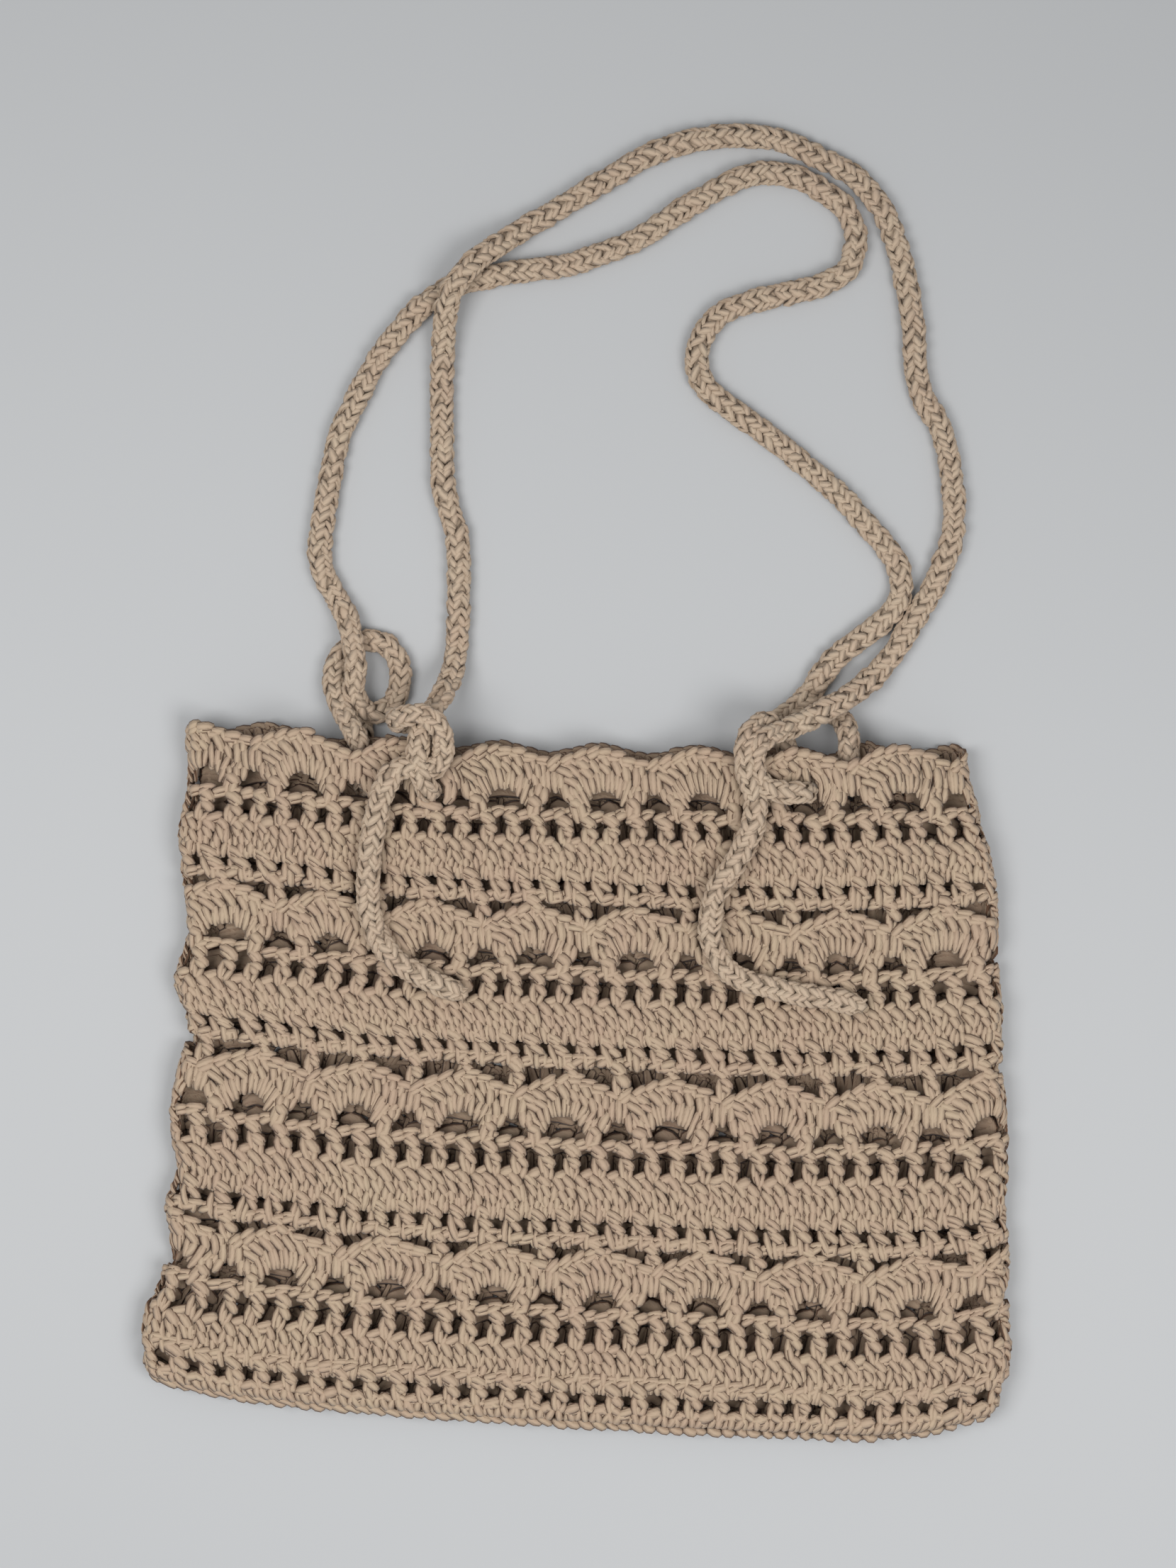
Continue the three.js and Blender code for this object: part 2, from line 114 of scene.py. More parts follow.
def look(table, key, column, at):
    """A smooth curve through the values of a table, read at many places."""
    keys = np.array(table[key], float)
    values = np.array(table[column], float)
    slopes = np.empty(len(keys))
    slopes[1:-1] = (values[2:] - values[:-2]) / (keys[2:] - keys[:-2])
    slopes[0] = (values[1] - values[0]) / (keys[1] - keys[0])
    slopes[-1] = (values[-1] - values[-2]) / (keys[-1] - keys[-2])
    place = np.clip(at, keys[0], keys[-1])
    row = np.clip(np.searchsorted(keys, place, side="right") - 1, 0, len(keys) - 2)
    span = keys[row + 1] - keys[row]
    t = (place - keys[row]) / span
    rest = 1 - t
    ends = values[row] * rest**2 * (1 + 2 * t) + values[row + 1] * t**2 * (3 - 2 * t)
    return ends + span * (slopes[row] * rest**2 * t - slopes[row + 1] * t**2 * rest)


def smoothstep(value, low, high):
    t = np.clip((value - low) / (high - low), 0, 1)
    return t * t * (3 - 2 * t)


def above_table(height):
    """Strands that would reach into the table are softly pressed up on it."""
    return PRESSED + np.logaddexp(0, (height - PRESSED) / PRESS_SOFTNESS) * PRESS_SOFTNESS


def on_bag(turn, up, out):
    """The place on the bag's wall: turns are counted in shells from the left fold over the front."""
    raised = smoothstep(up, *LIFT_SPAN)
    half = WALL + (ROOM[0] + (ROOM[1] - ROOM[0]) * raised) / 2
    gap = np.clip(up * BAG_HEIGHT / SEAM_ROUNDING, 0, 1)
    full = np.sqrt(1 - (1 - gap) ** 2)
    radius = half * full + SEAM_RADIUS * (1 - full)
    left = BAG_WIDTH * look(SIDES, "up", "left", up) + SEAM_EDGE * (1 - full) + radius
    right = BAG_WIDTH * look(SIDES, "up", "right", up) - SEAM_EDGE * (1 - full) - radius
    flat = right - left
    quarter = math.pi / 2 * radius
    pitch = (2 * flat + 4 * quarter) / SHELLS_AROUND
    half_way = SHELLS_AROUND / 2
    turn = np.mod(turn, SHELLS_AROUND)
    behind = np.clip(turn - half_way, 0, half_way)
    to_fold = np.minimum(behind, half_way - behind)
    slid = turn + BACK_SLIDE * smoothstep(to_fold, 0, SLIDE_RUN)
    panel = np.floor(slid / half_way)
    off = slid - (panel + 0.5) * half_way
    eased = np.where(np.abs(off) < PANEL_RUN, PANEL_SHARE * off, np.sign(off) * (
        PANEL_SHARE * PANEL_RUN + (np.abs(off) - PANEL_RUN)
        * (half_way / 2 - PANEL_SHARE * PANEL_RUN) / (half_way / 2 - PANEL_RUN)))
    around = ((panel + 0.5) * half_way + eased) * pitch
    first = np.clip(around, 0, quarter)
    front = np.clip(around - quarter, 0, flat)
    fold = np.clip(around - quarter - flat, 0, 2 * quarter)
    back = np.clip(around - 3 * quarter - flat, 0, flat)
    last = np.clip(around - 3 * quarter - 2 * flat, 0, quarter)
    angle = math.pi - (first + fold + last) / radius
    reach = np.maximum(radius - WALL / 2, LEAST_REACH) + out
    x = left + front - back + reach * np.cos(angle)
    across = np.clip((x - left + radius) / (flat + 2 * radius), 0, 1) - 0.5
    seam = look(LINES, "across", "seam", across)
    rim = look(LINES, "across", "rim", across)
    y = SEAM_Y + BAG_HEIGHT * (seam * (1 - up) + rim * up)
    rise = BACK_RISE + (BACK_RIM_RISE - BACK_RISE) * smoothstep(up, *RIM_SPAN)
    y = y + rise * smoothstep(to_fold, 0, RISE_RUN) * smoothstep(up, *SEAM_SPAN)
    on_front = np.maximum(np.sin(angle), 0)
    near = np.min([np.abs(x - tie) for tie in TIES_UNDER], axis=0)
    lift = TIE_LIFT * (1 - smoothstep(near, LIFT_FLAT, LIFT_FOOT)) * raised
    rib = RIB_RISE * look(RIBS, "up", "rise", up) * full * on_front
    z = lift + half + reach * np.sin(angle) + rib
    for hole_x, hole_y, side in TIE_HOLES:
        dx = (x - hole_x) / HOLE_HALF[0]
        dy = (y - hole_y) / HOLE_HALF[1]
        away = np.maximum(np.hypot(dx, dy), HOLE_HEART)
        pushed = 1 + away * (HOLE_REACH - 1) / HOLE_REACH
        inside = (away < HOLE_REACH) & (np.sin(angle) * side > ON_PANEL)
        grow = np.where(inside, pushed / away, 1)
        x = hole_x + dx * grow * HOLE_HALF[0]
        y = hole_y + dy * grow * HOLE_HALF[1]
    return np.stack([x, y, above_table(z)], axis=-1)


# Strands of yarn
# What shows of the yarn in a stitch is a short plump strand: a closed tube with narrower ends,
# laid through a few given points: sideways, upwards, and out of the wall.

STRAND_SIDES = 5
RIDGE_TURN = 0.05
FLATNESS = 0.46
END_SHARE = 0.62
END_CURVE = 4
TIP_REACH = 0.6
TIP_RUN = 0.3


def through(points, count):
    """Evenly spread places on a smooth curve through given points."""
    knots = np.array(points, float)
    knots = np.vstack([2 * knots[0] - knots[1], knots, 2 * knots[-1] - knots[-2]])
    at = np.linspace(0, len(points) - 1, count)
    first = np.minimum(at.astype(int), len(points) - 2)
    t = (at - first)[:, None]
    a, b, c, d = (knots[first + step] for step in range(4))
    bent = (2 * a - 5 * b + 4 * c - d) * t**2 + (3 * b - a - 3 * c + d) * t**3
    return (2 * b + (c - a) * t + bent) / 2


def unit(vectors):
    return vectors / np.maximum(np.linalg.norm(vectors, axis=-1, keepdims=True), 1e-9)


def corner_places(*pairs):
    """The yarn coordinates of faces, corner by corner, from pairs of places along and around."""
    return np.stack([np.stack(np.broadcast_arrays(*pair), axis=-1) for pair in pairs], axis=-2)


def tubes(centres, facing, radii):
    """Vertices, corner numbers and yarn coordinates of many closed tubes of one kind."""
    strands, rings = centres.shape[:2]
    sides = STRAND_SIDES
    along = unit(np.gradient(centres, axis=1))
    side = unit(np.cross(along, facing))
    outward = np.cross(side, along)
    share = np.abs(np.linspace(-1, 1, rings)) ** END_CURVE
    radii = radii[:, None] * (1 - (1 - END_SHARE) * share)
    turns = 2 * math.pi * (np.arange(sides) / sides + RIDGE_TURN)
    wide = np.cos(turns)[:, None] * side[:, :, None, :]
    deep = np.sin(turns)[:, None] * outward[:, :, None, :] * FLATNESS
    shell = centres[:, :, None, :] + radii[:, :, None, None] * (wide + deep)
    past = np.array([[-TIP_REACH], [TIP_REACH]]) * radii[:, [0, -1], None]
    tips = centres[:, [0, -1]] + along[:, [0, -1]] * past
    vertices = np.concatenate([shell.reshape(strands, -1, 3), tips], axis=1)
    count = vertices.shape[1]
    ring = np.arange(rings - 1)[:, None] * sides
    here = np.arange(sides)[None, :]
    there = (here + 1) % sides
    quads = np.stack([ring + here, ring + sides + here, ring + sides + there, ring + there], axis=-1)
    end = (rings - 1) * sides
    first_cap = np.stack([np.full(sides, count - 2), here[0], there[0]], axis=-1)
    last_cap = np.stack([np.full(sides, count - 1), end + there[0], end + here[0]], axis=-1)
    length = np.concatenate([np.zeros((strands, 1)), np.cumsum(
        np.linalg.norm(np.diff(centres, axis=1), axis=-1), axis=1)], axis=1) / (2 * YARN)
    low = length[:, :-1, None]
    high = length[:, 1:, None]
    near = here / sides + RIDGE_TURN
    far = near + 1 / sides
    quad_uv = corner_places((low, near), (high, near), (high, far), (low, far))
    start = np.zeros((strands, 1))
    finish = length[:, -1:]
    first_uv = corner_places((start - TIP_RUN, near), (start, near), (start, far))
    last_uv = corner_places((finish + TIP_RUN, near), (finish, far), (finish, near))
    shift = (np.arange(strands) * count)[:, None, None]
    fours = (quads.reshape(1, -1, 4) + shift).reshape(-1, 4)
    threes = (np.concatenate([first_cap, last_cap])[None] + shift).reshape(-1, 3)
    three_uv = np.concatenate([first_uv, last_uv], axis=1).reshape(-1, 2)
    return vertices.reshape(-1, 3), fours, threes, quad_uv.reshape(-1, 2), three_uv, count


def yarn_piece(name, surface, laid, material, seed):
    """One mesh of all the strands laid on a surface: each set is (places, radii)."""
    random = np.random.default_rng(seed)
    sets = []
    base = 0
    for places, radii in laid:
        centres = surface(places[..., 0], places[..., 1], places[..., 2])
        facing = surface(places[..., 0], places[..., 1], places[..., 2] + LAYER) - centres
        points, fours, threes, four_uv, three_uv, count = tubes(centres, unit(facing), radii)
        tones = np.repeat(random.random(len(radii)), count)
        sets.append((points, fours + base, threes + base, four_uv, three_uv, tones))
        base += len(points)
    points, fours, threes, four_uv, three_uv, tones = (np.concatenate(part) for part in zip(*sets))
    corners = np.concatenate([fours.ravel(), threes.ravel()])
    starts = np.concatenate([np.arange(len(fours)) * 4, len(fours) * 4 + np.arange(len(threes)) * 3])
    mesh = bpy.data.meshes.new(name)
    mesh.vertices.add(len(points))
    mesh.vertices.foreach_set("co", points.astype(np.float32).ravel())
    mesh.loops.add(len(corners))
    mesh.loops.foreach_set("vertex_index", corners.astype(np.int32))
    mesh.polygons.add(len(starts))
    mesh.polygons.foreach_set("loop_start", starts.astype(np.int32))
    mesh.update(calc_edges=True)
    mesh.shade_smooth()
    yarn_map = mesh.uv_layers.new(name="Yarn")
    uv = np.concatenate([four_uv, three_uv])
    yarn_map.data.foreach_set("uv", uv.astype(np.float32).ravel())
    tone = mesh.attributes.new("tone", "FLOAT", "POINT")
    tone.data.foreach_set("value", tones.astype(np.float32))
    mesh.materials.append(material)
    piece = bpy.data.objects.new(name, mesh)
    bpy.context.scene.collection.objects.link(piece)
    return piece


# Cotton yarn
# The yarn is soft, matt cotton: plies with a slow twist, fine fibres, and a beige that drifts a
# little between pinkish and straw from stitch to stitch and across the bag.

# Fibres: how drawn out they are, how many there are around, and how they lean
FIBRE_RUN = 0.9
FIBRES_AROUND = 16.0
FIBRE_LEAN = 1.8
FIBRE_SCALE = 1.4
FIBRE_DETAIL = 3.0
STRANDS_APART = 60.0
WANDER = 0.9
GROOVE_POWER = 0.3

# A strand's edges, where it turns away, get painted shade, and so does its inner side, the one that
# faces into the bag
EDGE_SHADE_SPAN = (0.34, 0.68)
INNER_SHADE_SIDE = -0.3

# How the beige drifts, how much shade is painted into the hollows among the fibres, and how rough the
# fibres are
DRIFT_SCALE = 34.0
DRIFT_DETAIL = 3.0
DRIFT_SHARE = 1.5
TONE_SHARE = 0.5
MIX_FLOOR = 0.5
HOLLOW_SHADE_LEVEL = 0.6
HOLLOW_SHADE_SHARE = 0.4
ROUGHNESS = (0.82, 0.2)
FIBRE_HEIGHT = 0.5


def socket(tree, name, kind, way="INPUT", value=None):
    made = tree.interface.new_socket(name=name, in_out=way, socket_type=kind)
    if value is not None:
        made.default_value = value


def node(tree, kind, **settings):
    made = tree.nodes.new(kind)
    for name, value in settings.items():
        setattr(made, name, value)
    return made


def math_node(tree, operation, first, second=0.0):
    made = node(tree, "ShaderNodeMath", operation=operation)
    for slot, value in enumerate((first, second)):
        if isinstance(value, (int, float)):
            made.inputs[slot].default_value = value
        else:
            tree.links.new(value, made.inputs[slot])
    return made.outputs[0]


def yarn_group():
    """The look of twisted cotton, from the places along and around each strand."""
    tree = bpy.data.node_groups.new("twisted cotton", "ShaderNodeTree")
    socket(tree, "Along and around", "NodeSocketVector")
    socket(tree, "Place", "NodeSocketVector")
    socket(tree, "Tone", "NodeSocketFloat")
    # The light and warm colours are the yarn's beige; the third is the dark colour of its painted shade
    for name in ("Light", "Warm", "Shade colour"):
        socket(tree, name, "NodeSocketColor")
    # Plies and twist shape the grooves; the next three are how much painted shade goes into the
    # grooves, the edges and the inner side
    for name, value in (("Plies", 4.0), ("Twist", 0.12), ("Crease shade", 0.42), ("Edges", 0.95),
                        ("Inside", 0.34)):
        socket(tree, name, "NodeSocketFloat", value=value)
    socket(tree, "Colour", "NodeSocketColor", "OUTPUT")
    socket(tree, "Roughness", "NodeSocketFloat", "OUTPUT")
    socket(tree, "Height", "NodeSocketFloat", "OUTPUT")
    link = tree.links.new

    def times(first, second):
        return math_node(tree, "MULTIPLY", first, second)

    def plus(first, second):
        return math_node(tree, "ADD", first, second)

    enter = node(tree, "NodeGroupInput").outputs
    leave = node(tree, "NodeGroupOutput").inputs
    split = node(tree, "ShaderNodeSeparateXYZ")
    link(enter["Along and around"], split.inputs[0])
    along, around = split.outputs[:2]

    # Fibres run nearly along the strand, and no two strands have the same ones
    fibre_place = node(tree, "ShaderNodeCombineXYZ")
    link(times(along, FIBRE_RUN), fibre_place.inputs[0])
    link(plus(times(around, FIBRES_AROUND), times(along, FIBRE_LEAN)), fibre_place.inputs[1])
    link(times(enter["Tone"], STRANDS_APART), fibre_place.inputs[2])
    noise = node(tree, "ShaderNodeTexNoise")
    noise.inputs["Scale"].default_value = FIBRE_SCALE
    noise.inputs["Detail"].default_value = FIBRE_DETAIL
    link(fibre_place.outputs[0], noise.inputs["Vector"])
    fibres = noise.outputs[0]

    # Plies wind round the strand with a groove between each two
    wound = plus(times(along, enter["Twist"]), times(around, enter["Plies"]))
    wave = math_node(tree, "SINE", times(plus(wound, times(fibres, WANDER)), math.pi))
    groove = math_node(tree, "POWER", math_node(tree, "ABSOLUTE", wave), GROOVE_POWER)

    # The beige drifts over the bag and from strand to strand
    drift = node(tree, "ShaderNodeTexNoise")
    drift.inputs["Scale"].default_value = DRIFT_SCALE
    drift.inputs["Detail"].default_value = DRIFT_DETAIL
    link(enter["Place"], drift.inputs["Vector"])
    mixed = plus(times(drift.outputs[0], DRIFT_SHARE), times(enter["Tone"], TONE_SHARE))
    tint = node(tree, "ShaderNodeMix", data_type="RGBA", clamp_factor=True)
    link(math_node(tree, "SUBTRACT", mixed, MIX_FLOOR), tint.inputs["Factor"])
    link(enter["Light"], tint.inputs["A"])
    link(enter["Warm"], tint.inputs["B"])

    # Painted shade: the colour is mixed towards the shade colour in the grooves between plies, at the
    # edges where a strand turns away, in hollows among the fibres, and on the inner side that faces
    # into the bag
    outward = math_node(tree, "SINE", times(around, 2 * math.pi))
    side = node(tree, "ShaderNodeMapRange", interpolation_type="SMOOTHSTEP")
    for name, value in zip(("From Min", "From Max", "To Min", "To Max"), (*EDGE_SHADE_SPAN, 1.0, 0.0)):
        side.inputs[name].default_value = value
    link(math_node(tree, "ABSOLUTE", outward), side.inputs["Value"])
    # Painted shade in the grooves between the plies
    crease_shade = times(math_node(tree, "SUBTRACT", 1.0, groove), enter["Crease shade"])
    # Painted shade at a strand's edges, where it turns away
    edge_shade = times(side.outputs[0], enter["Edges"])
    # Painted shade in the hollows among the fibres, where the fibre noise is low
    hollow_shade = times(math_node(tree, "SUBTRACT", HOLLOW_SHADE_LEVEL, fibres), HOLLOW_SHADE_SHARE)
    # Painted shade on the inner side of each strand, the side that faces into the bag
    inner = times(math_node(tree, "LESS_THAN", outward, INNER_SHADE_SIDE), enter["Inside"])
    # All the painted shade added up
    deep = plus(plus(crease_shade, edge_shade), plus(hollow_shade, inner))
    shade = node(tree, "ShaderNodeMix", data_type="RGBA", clamp_factor=True)
    link(deep, shade.inputs["Factor"])
    link(tint.outputs["Result"], shade.inputs["A"])
    link(enter["Shade colour"], shade.inputs["B"])
    link(shade.outputs["Result"], leave["Colour"])

    link(plus(ROUGHNESS[0], times(fibres, ROUGHNESS[1])), leave["Roughness"])
    link(plus(groove, times(fibres, FIBRE_HEIGHT)), leave["Height"])
    return tree


TWISTED_COTTON = yarn_group()
BUMP_STRENGTH = 0.4
BUMP_DEPTH = 0.0004
SHINE = 0.18
SHEEN = 0.12
SHEEN_ROUGHNESS = 0.5


def cotton(name, light, warm, deep, edge_shade_share):
    """A yarn material: the shared twist and fibres with this yarn's own colours, its own painted shade
    colour, and how much shade is painted at its edges.
    """
    material = bpy.data.materials.new(name)
    material.use_nodes = True
    tree = material.node_tree
    shader = tree.nodes["Principled BSDF"]
    yarn = node(tree, "ShaderNodeGroup", node_tree=TWISTED_COTTON)
    uv = node(tree, "ShaderNodeUVMap", uv_map="Yarn")
    place = node(tree, "ShaderNodeTexCoord")
    tone = node(tree, "ShaderNodeAttribute", attribute_name="tone")
    link = tree.links.new
    link(uv.outputs[0], yarn.inputs["Along and around"])
    link(place.outputs["Object"], yarn.inputs["Place"])
    link(tone.outputs["Fac"], yarn.inputs["Tone"])
    for name_of, colour in (("Light", light), ("Warm", warm), ("Shade colour", deep)):
        yarn.inputs[name_of].default_value = (*colour, 1)
    yarn.inputs["Edges"].default_value = edge_shade_share
    link(yarn.outputs["Colour"], shader.inputs["Base Color"])
    link(yarn.outputs["Roughness"], shader.inputs["Roughness"])
    bump = node(tree, "ShaderNodeBump")
    bump.inputs["Strength"].default_value = BUMP_STRENGTH
    bump.inputs["Distance"].default_value = BUMP_DEPTH
    link(yarn.outputs["Height"], bump.inputs["Height"])
    link(bump.outputs[0], shader.inputs["Normal"])
    shader.inputs["Specular IOR Level"].default_value = SHINE
    shader.inputs["Sheen Weight"].default_value = SHEEN
    shader.inputs["Sheen Roughness"].default_value = SHEEN_ROUGHNESS
    return material


# light and warm are the bag's beige; deep is the colour of its painted shade, and the last value is how
# much shade is painted at strand edges
BAG_COTTON = cotton("bag cotton", light=(.478, .369, .258), warm=(.452, .327, .237),
                    deep=(.128, .068, .040), edge_shade_share=0.95)


# The rounds of the bag
# Each round is one piece, as it is crocheted: solid rounds of treble posts side by side, mesh
# rounds of a post and a one-loop chain, shells of eight fanned posts, and posts that level the
# shells. Each row is a strand of a stitch: its thickness in yarns, then its points, which are
# sideways in stitch widths, up in shares of the round, and out of the wall in layers.

SOLID_STITCHES = (
    ((1.04, (-.54, 1.0, .2), (-.18, .95, 1.1), (.18, .84, 1.3), (.46, .7, .3)),
     (.92, (-.34, .84, .2), (-.04, .72, 1.0), (.22, .58, 1.1), (.4, .42, .2)),
     (.84, (-.52, .72, .1), (-.42, .48, .9), (-.24, .24, .2)),
     (.82, (-.1, .6, .2), (.04, .4, .9), (.14, .16, .2)),
     (.84, (-.46, .36, .1), (-.36, .16, .9), (-.32, -.08, .0)),
     (.82, (.0, .3, .1), (.04, .12, .8), (-.02, -.1, .0)),
     (.82, (.44, .44, .1), (.42, .18, .9), (.34, -.06, .0)),
     (.68, (.5, 1.02, .0), (.56, .86, .5), (.54, .68, -.2))),
    ((1.0, (-.56, 1.02, .2), (-.16, .93, 1.1), (.16, .8, 1.3), (.42, .62, .3)),
     (.92, (-.16, .74, .1), (.12, .6, 1.0), (.34, .48, 1.1), (.48, .34, .2)),
     (.84, (-.34, .82, .1), (-.38, .58, .8), (-.5, .34, .1)),
     (.84, (-.12, .56, .2), (-.16, .34, .9), (-.3, .12, .2)),
     (.82, (-.5, .34, .1), (-.38, .12, .8), (-.22, -.1, .0)),
     (.84, (.2, .44, .1), (.12, .18, .9), (.12, -.1, .0)),
     (.8, (.36, .28, .1), (.42, .1, .8), (.4, -.08, .0)),
     (.66, (.48, 1.02, .0), (.56, .86, .5), (.56, .66, -.2))),
    ((1.06, (-.58, 1.0, .2), (-.24, .96, 1.1), (.1, .84, 1.3), (.38, .66, .3)),
     (.92, (-.48, .8, .1), (-.18, .7, .9), (.1, .54, 1.1), (.3, .36, .2)),
     (.86, (.3, .86, .1), (.4, .6, .9), (.52, .36, .2)),
     (.84, (-.34, .6, .1), (-.18, .36, .9), (-.1, .1, .2)),
     (.82, (-.5, .46, .1), (-.44, .2, .8), (-.46, -.06, .0)),
     (.84, (-.2, .24, .1), (-.08, .08, .8), (-.06, -.1, .0)),
     (.84, (.46, .4, .1), (.32, .16, .9), (.28, -.1, .0))),
)
SOLID_BACKING = (((1.45, (.0, -.05, -.9), (-.1, .5, -1.1), (-.3, 1.05, -.9)),),)

MESH_POSTS = (
    ((.95, (-.88, 1.04, .1), (-.3, .99, 1.3), (.18, .86, 1.4), (.42, .7, .2)),
     (.92, (-.76, .9, .1), (-.4, .85, 1.1), (.02, .74, 1.3), (.34, .6, .2)),
     (.9, (-.34, .64, .1), (.08, .61, 1.3), (.4, .53, 1.4), (.58, .42, .2)),
     (.84, (-.26, .54, .1), (.06, .48, 1.1), (.32, .41, 1.3), (.5, .33, .2)),
     (.81, (-.42, .62, .1), (-.36, .38, .8), (-.22, .18, .9), (-.06, .0, .0)),
     (.77, (-.18, .46, .2), (-.08, .3, .9), (.03, .13, 1.0), (.06, -.02, .0)),
     (.77, (.42, .36, .1), (.34, .24, .8), (.24, .1, .9), (.16, .0, .0))),
    ((1.1, (-.86, 1.04, .1), (-.32, .99, 1.3), (.16, .87, 1.4), (.4, .72, .2)),
     (.84, (-.66, .84, .1), (-.24, .8, 1.1), (.12, .72, 1.2), (.36, .6, .2)),
     (1.1, (-.3, .66, .1), (.1, .6, 1.3), (.38, .5, 1.4), (.56, .38, .2)),
     (.79, (-.4, .64, .1), (-.38, .41, .8), (-.28, .21, .9), (-.1, .04, .0)),
     (.77, (-.18, .47, .2), (-.14, .33, .9), (-.04, .18, 1.0), (.02, .0, .0)),
     (.77, (.36, .36, .1), (.28, .22, .9), (.19, .11, .9), (.1, .0, .0))),
    ((1.06, (-.92, 1.04, .1), (-.5, .98, 1.2), (.02, .84, 1.4), (.36, .67, .2)),
     (.81, (-.62, .82, .1), (-.3, .78, 1.0), (.08, .68, 1.2), (.34, .56, .2)),
     (1.03, (-.32, .64, .1), (.08, .55, 1.3), (.34, .46, 1.4), (.54, .32, .2)),
     (.86, (-.44, .66, .1), (-.42, .44, .9), (-.26, .2, 1.0), (.0, -.03, .0)),
     (.79, (-.22, .52, .2), (-.12, .36, .9), (.04, .2, 1.0), (.12, .02, .0)),
     (.79, (.42, .34, .1), (.34, .24, .9), (.26, .12, .9), (.18, .0, .0))),
)
WRAPPED_POSTS = (
    ((.84, (-.98, 1.06, .1), (-.54, 1.0, 1.2), (-.04, .86, 1.5), (.3, .68, .2)),
     (.74, (-.84, .86, .1), (-.52, .82, 1.1), (-.14, .7, 1.3), (.18, .54, .2)),
     (.86, (-.64, .64, .1), (-.22, .58, 1.3), (.22, .46, 1.5), (.6, .32, .2)),
     (.76, (-.52, .5, .1), (-.18, .44, 1.1), (.18, .33, 1.3), (.52, .2, .2)),
     (.8, (-.8, .56, .1), (-.66, .28, .9), (-.46, .0, 1.3), (-.24, -.28, .1)),
     (.78, (-.12, .34, .2), (-.08, .14, 1.0), (.0, -.1, 1.4), (.06, -.3, .1)),
     (.76, (.22, .3, .2), (.26, .12, 1.0), (.3, -.08, 1.3), (.32, -.28, .1)),
     (.76, (.58, .27, .1), (.62, .12, .9), (.66, -.04, 1.2), (.66, -.2, .0))),
    ((.86, (-.94, 1.06, .1), (-.52, .99, 1.2), (.0, .84, 1.4), (.38, .66, .2)),
     (.74, (-.78, .88, .1), (-.46, .82, 1.1), (-.04, .68, 1.3), (.28, .52, .2)),
     (.98, (-.42, .62, .1), (.0, .54, 1.3), (.36, .42, 1.5), (.64, .28, .2)),
     (.9, (-.74, .68, .1), (-.5, .38, 1.1), (-.1, .06, 1.4), (.26, -.2, .1)),
     (.76, (-.56, .36, .0), (-.5, .14, .8), (-.36, -.06, 1.1), (-.14, -.22, .0)),
     (.78, (.46, .28, .1), (.46, .1, 1.0), (.42, -.06, 1.3), (.36, -.22, .0))),
    ((.98, (-.84, 1.06, .1), (-.44, .98, 1.2), (.06, .82, 1.5), (.42, .64, .2)),
     (.8, (-.7, .8, .1), (-.34, .76, 1.0), (.04, .66, 1.1), (.36, .52, .2)),
     (.96, (-.36, .62, .1), (.02, .53, 1.3), (.36, .4, 1.5), (.62, .26, .2)),
     (.84, (-.64, .64, .1), (-.6, .34, 1.0), (-.56, .04, 1.3), (-.48, -.24, .1)),
     (.84, (-.22, .52, .2), (-.18, .24, 1.0), (-.12, -.04, 1.4), (-.08, -.28, .1)),
     (.78, (.3, .24, .1), (.32, .08, 1.0), (.34, -.08, 1.3), (.36, -.24, .0))),
)
POST_BACKING = (((.8, (.05, -.05, -.7), (.02, .4, -1.0), (-.3, 1.0, -.7)),),)

# Two plump strands that lie over the round below, between two posts of a mesh round
PAIRS_BETWEEN = (
    ((1.0, (-.6, .06, .1), (-.2, .13, .9), (.2, .21, 1.0), (.56, .25, .1)),
     (.72, (-.62, -.01, .1), (-.2, .02, .7), (.2, .06, .8), (.52, .09, .0))),
    ((1.2, (-.52, .03, .1), (-.15, .11, .8), (.2, .19, .9), (.52, .21, .1)),
     (.6, (-.5, -.04, .1), (-.15, -.02, .7), (.2, .0, .7), (.52, .04, .0))),
)

# A loop of the chain that lies along the top of a round
CHAIN_LOOPS = (
    ((.84, (-.54, -.2, .1), (-.22, .2, 1.2), (.14, .58, 1.3), (.48, .84, .1)),
     (.8, (-.6, .7, .0), (-.18, .96, .9), (.26, 1.1, .9), (.64, 1.06, .0))),
    ((.9, (-.56, -.06, .1), (-.18, .3, 1.2), (.22, .6, 1.3), (.58, .74, .1)),
     (.76, (-.56, -.5, .0), (-.18, -.32, .8), (.22, -.1, .9), (.6, .08, .0))),
)

# A stitch of the closing seam
SEAM_STITCHES = (
    ((.84, (-.44, 1.1, .1), (-.34, .8, 1.0), (-.16, .52, 1.0), (-.04, .26, .2)),
     (.84, (.42, 1.05, .1), (.34, .78, 1.0), (.22, .52, 1.0), (.1, .3, .2)),
     (.92, (-.62, .44, .1), (-.22, .26, 1.1), (.2, .08, 1.2), (.52, .02, .2)),
     (.84, (-.5, 1.25, .0), (-.06, 1.12, 1.2), (.4, .94, .6))),
    ((.9, (-.36, 1.06, .1), (-.24, .78, 1.0), (-.12, .5, 1.1), (.06, .3, .2)),
     (.84, (.44, .98, .1), (.4, .76, .9), (.34, .52, .9), (.26, .34, .2)),
     (.98, (-.56, .34, .1), (-.18, .16, 1.1), (.22, .06, 1.2), (.6, .1, .2)),
     (.78, (-.46, 1.2, .0), (-.02, 1.1, 1.1), (.42, .98, .6))),
)

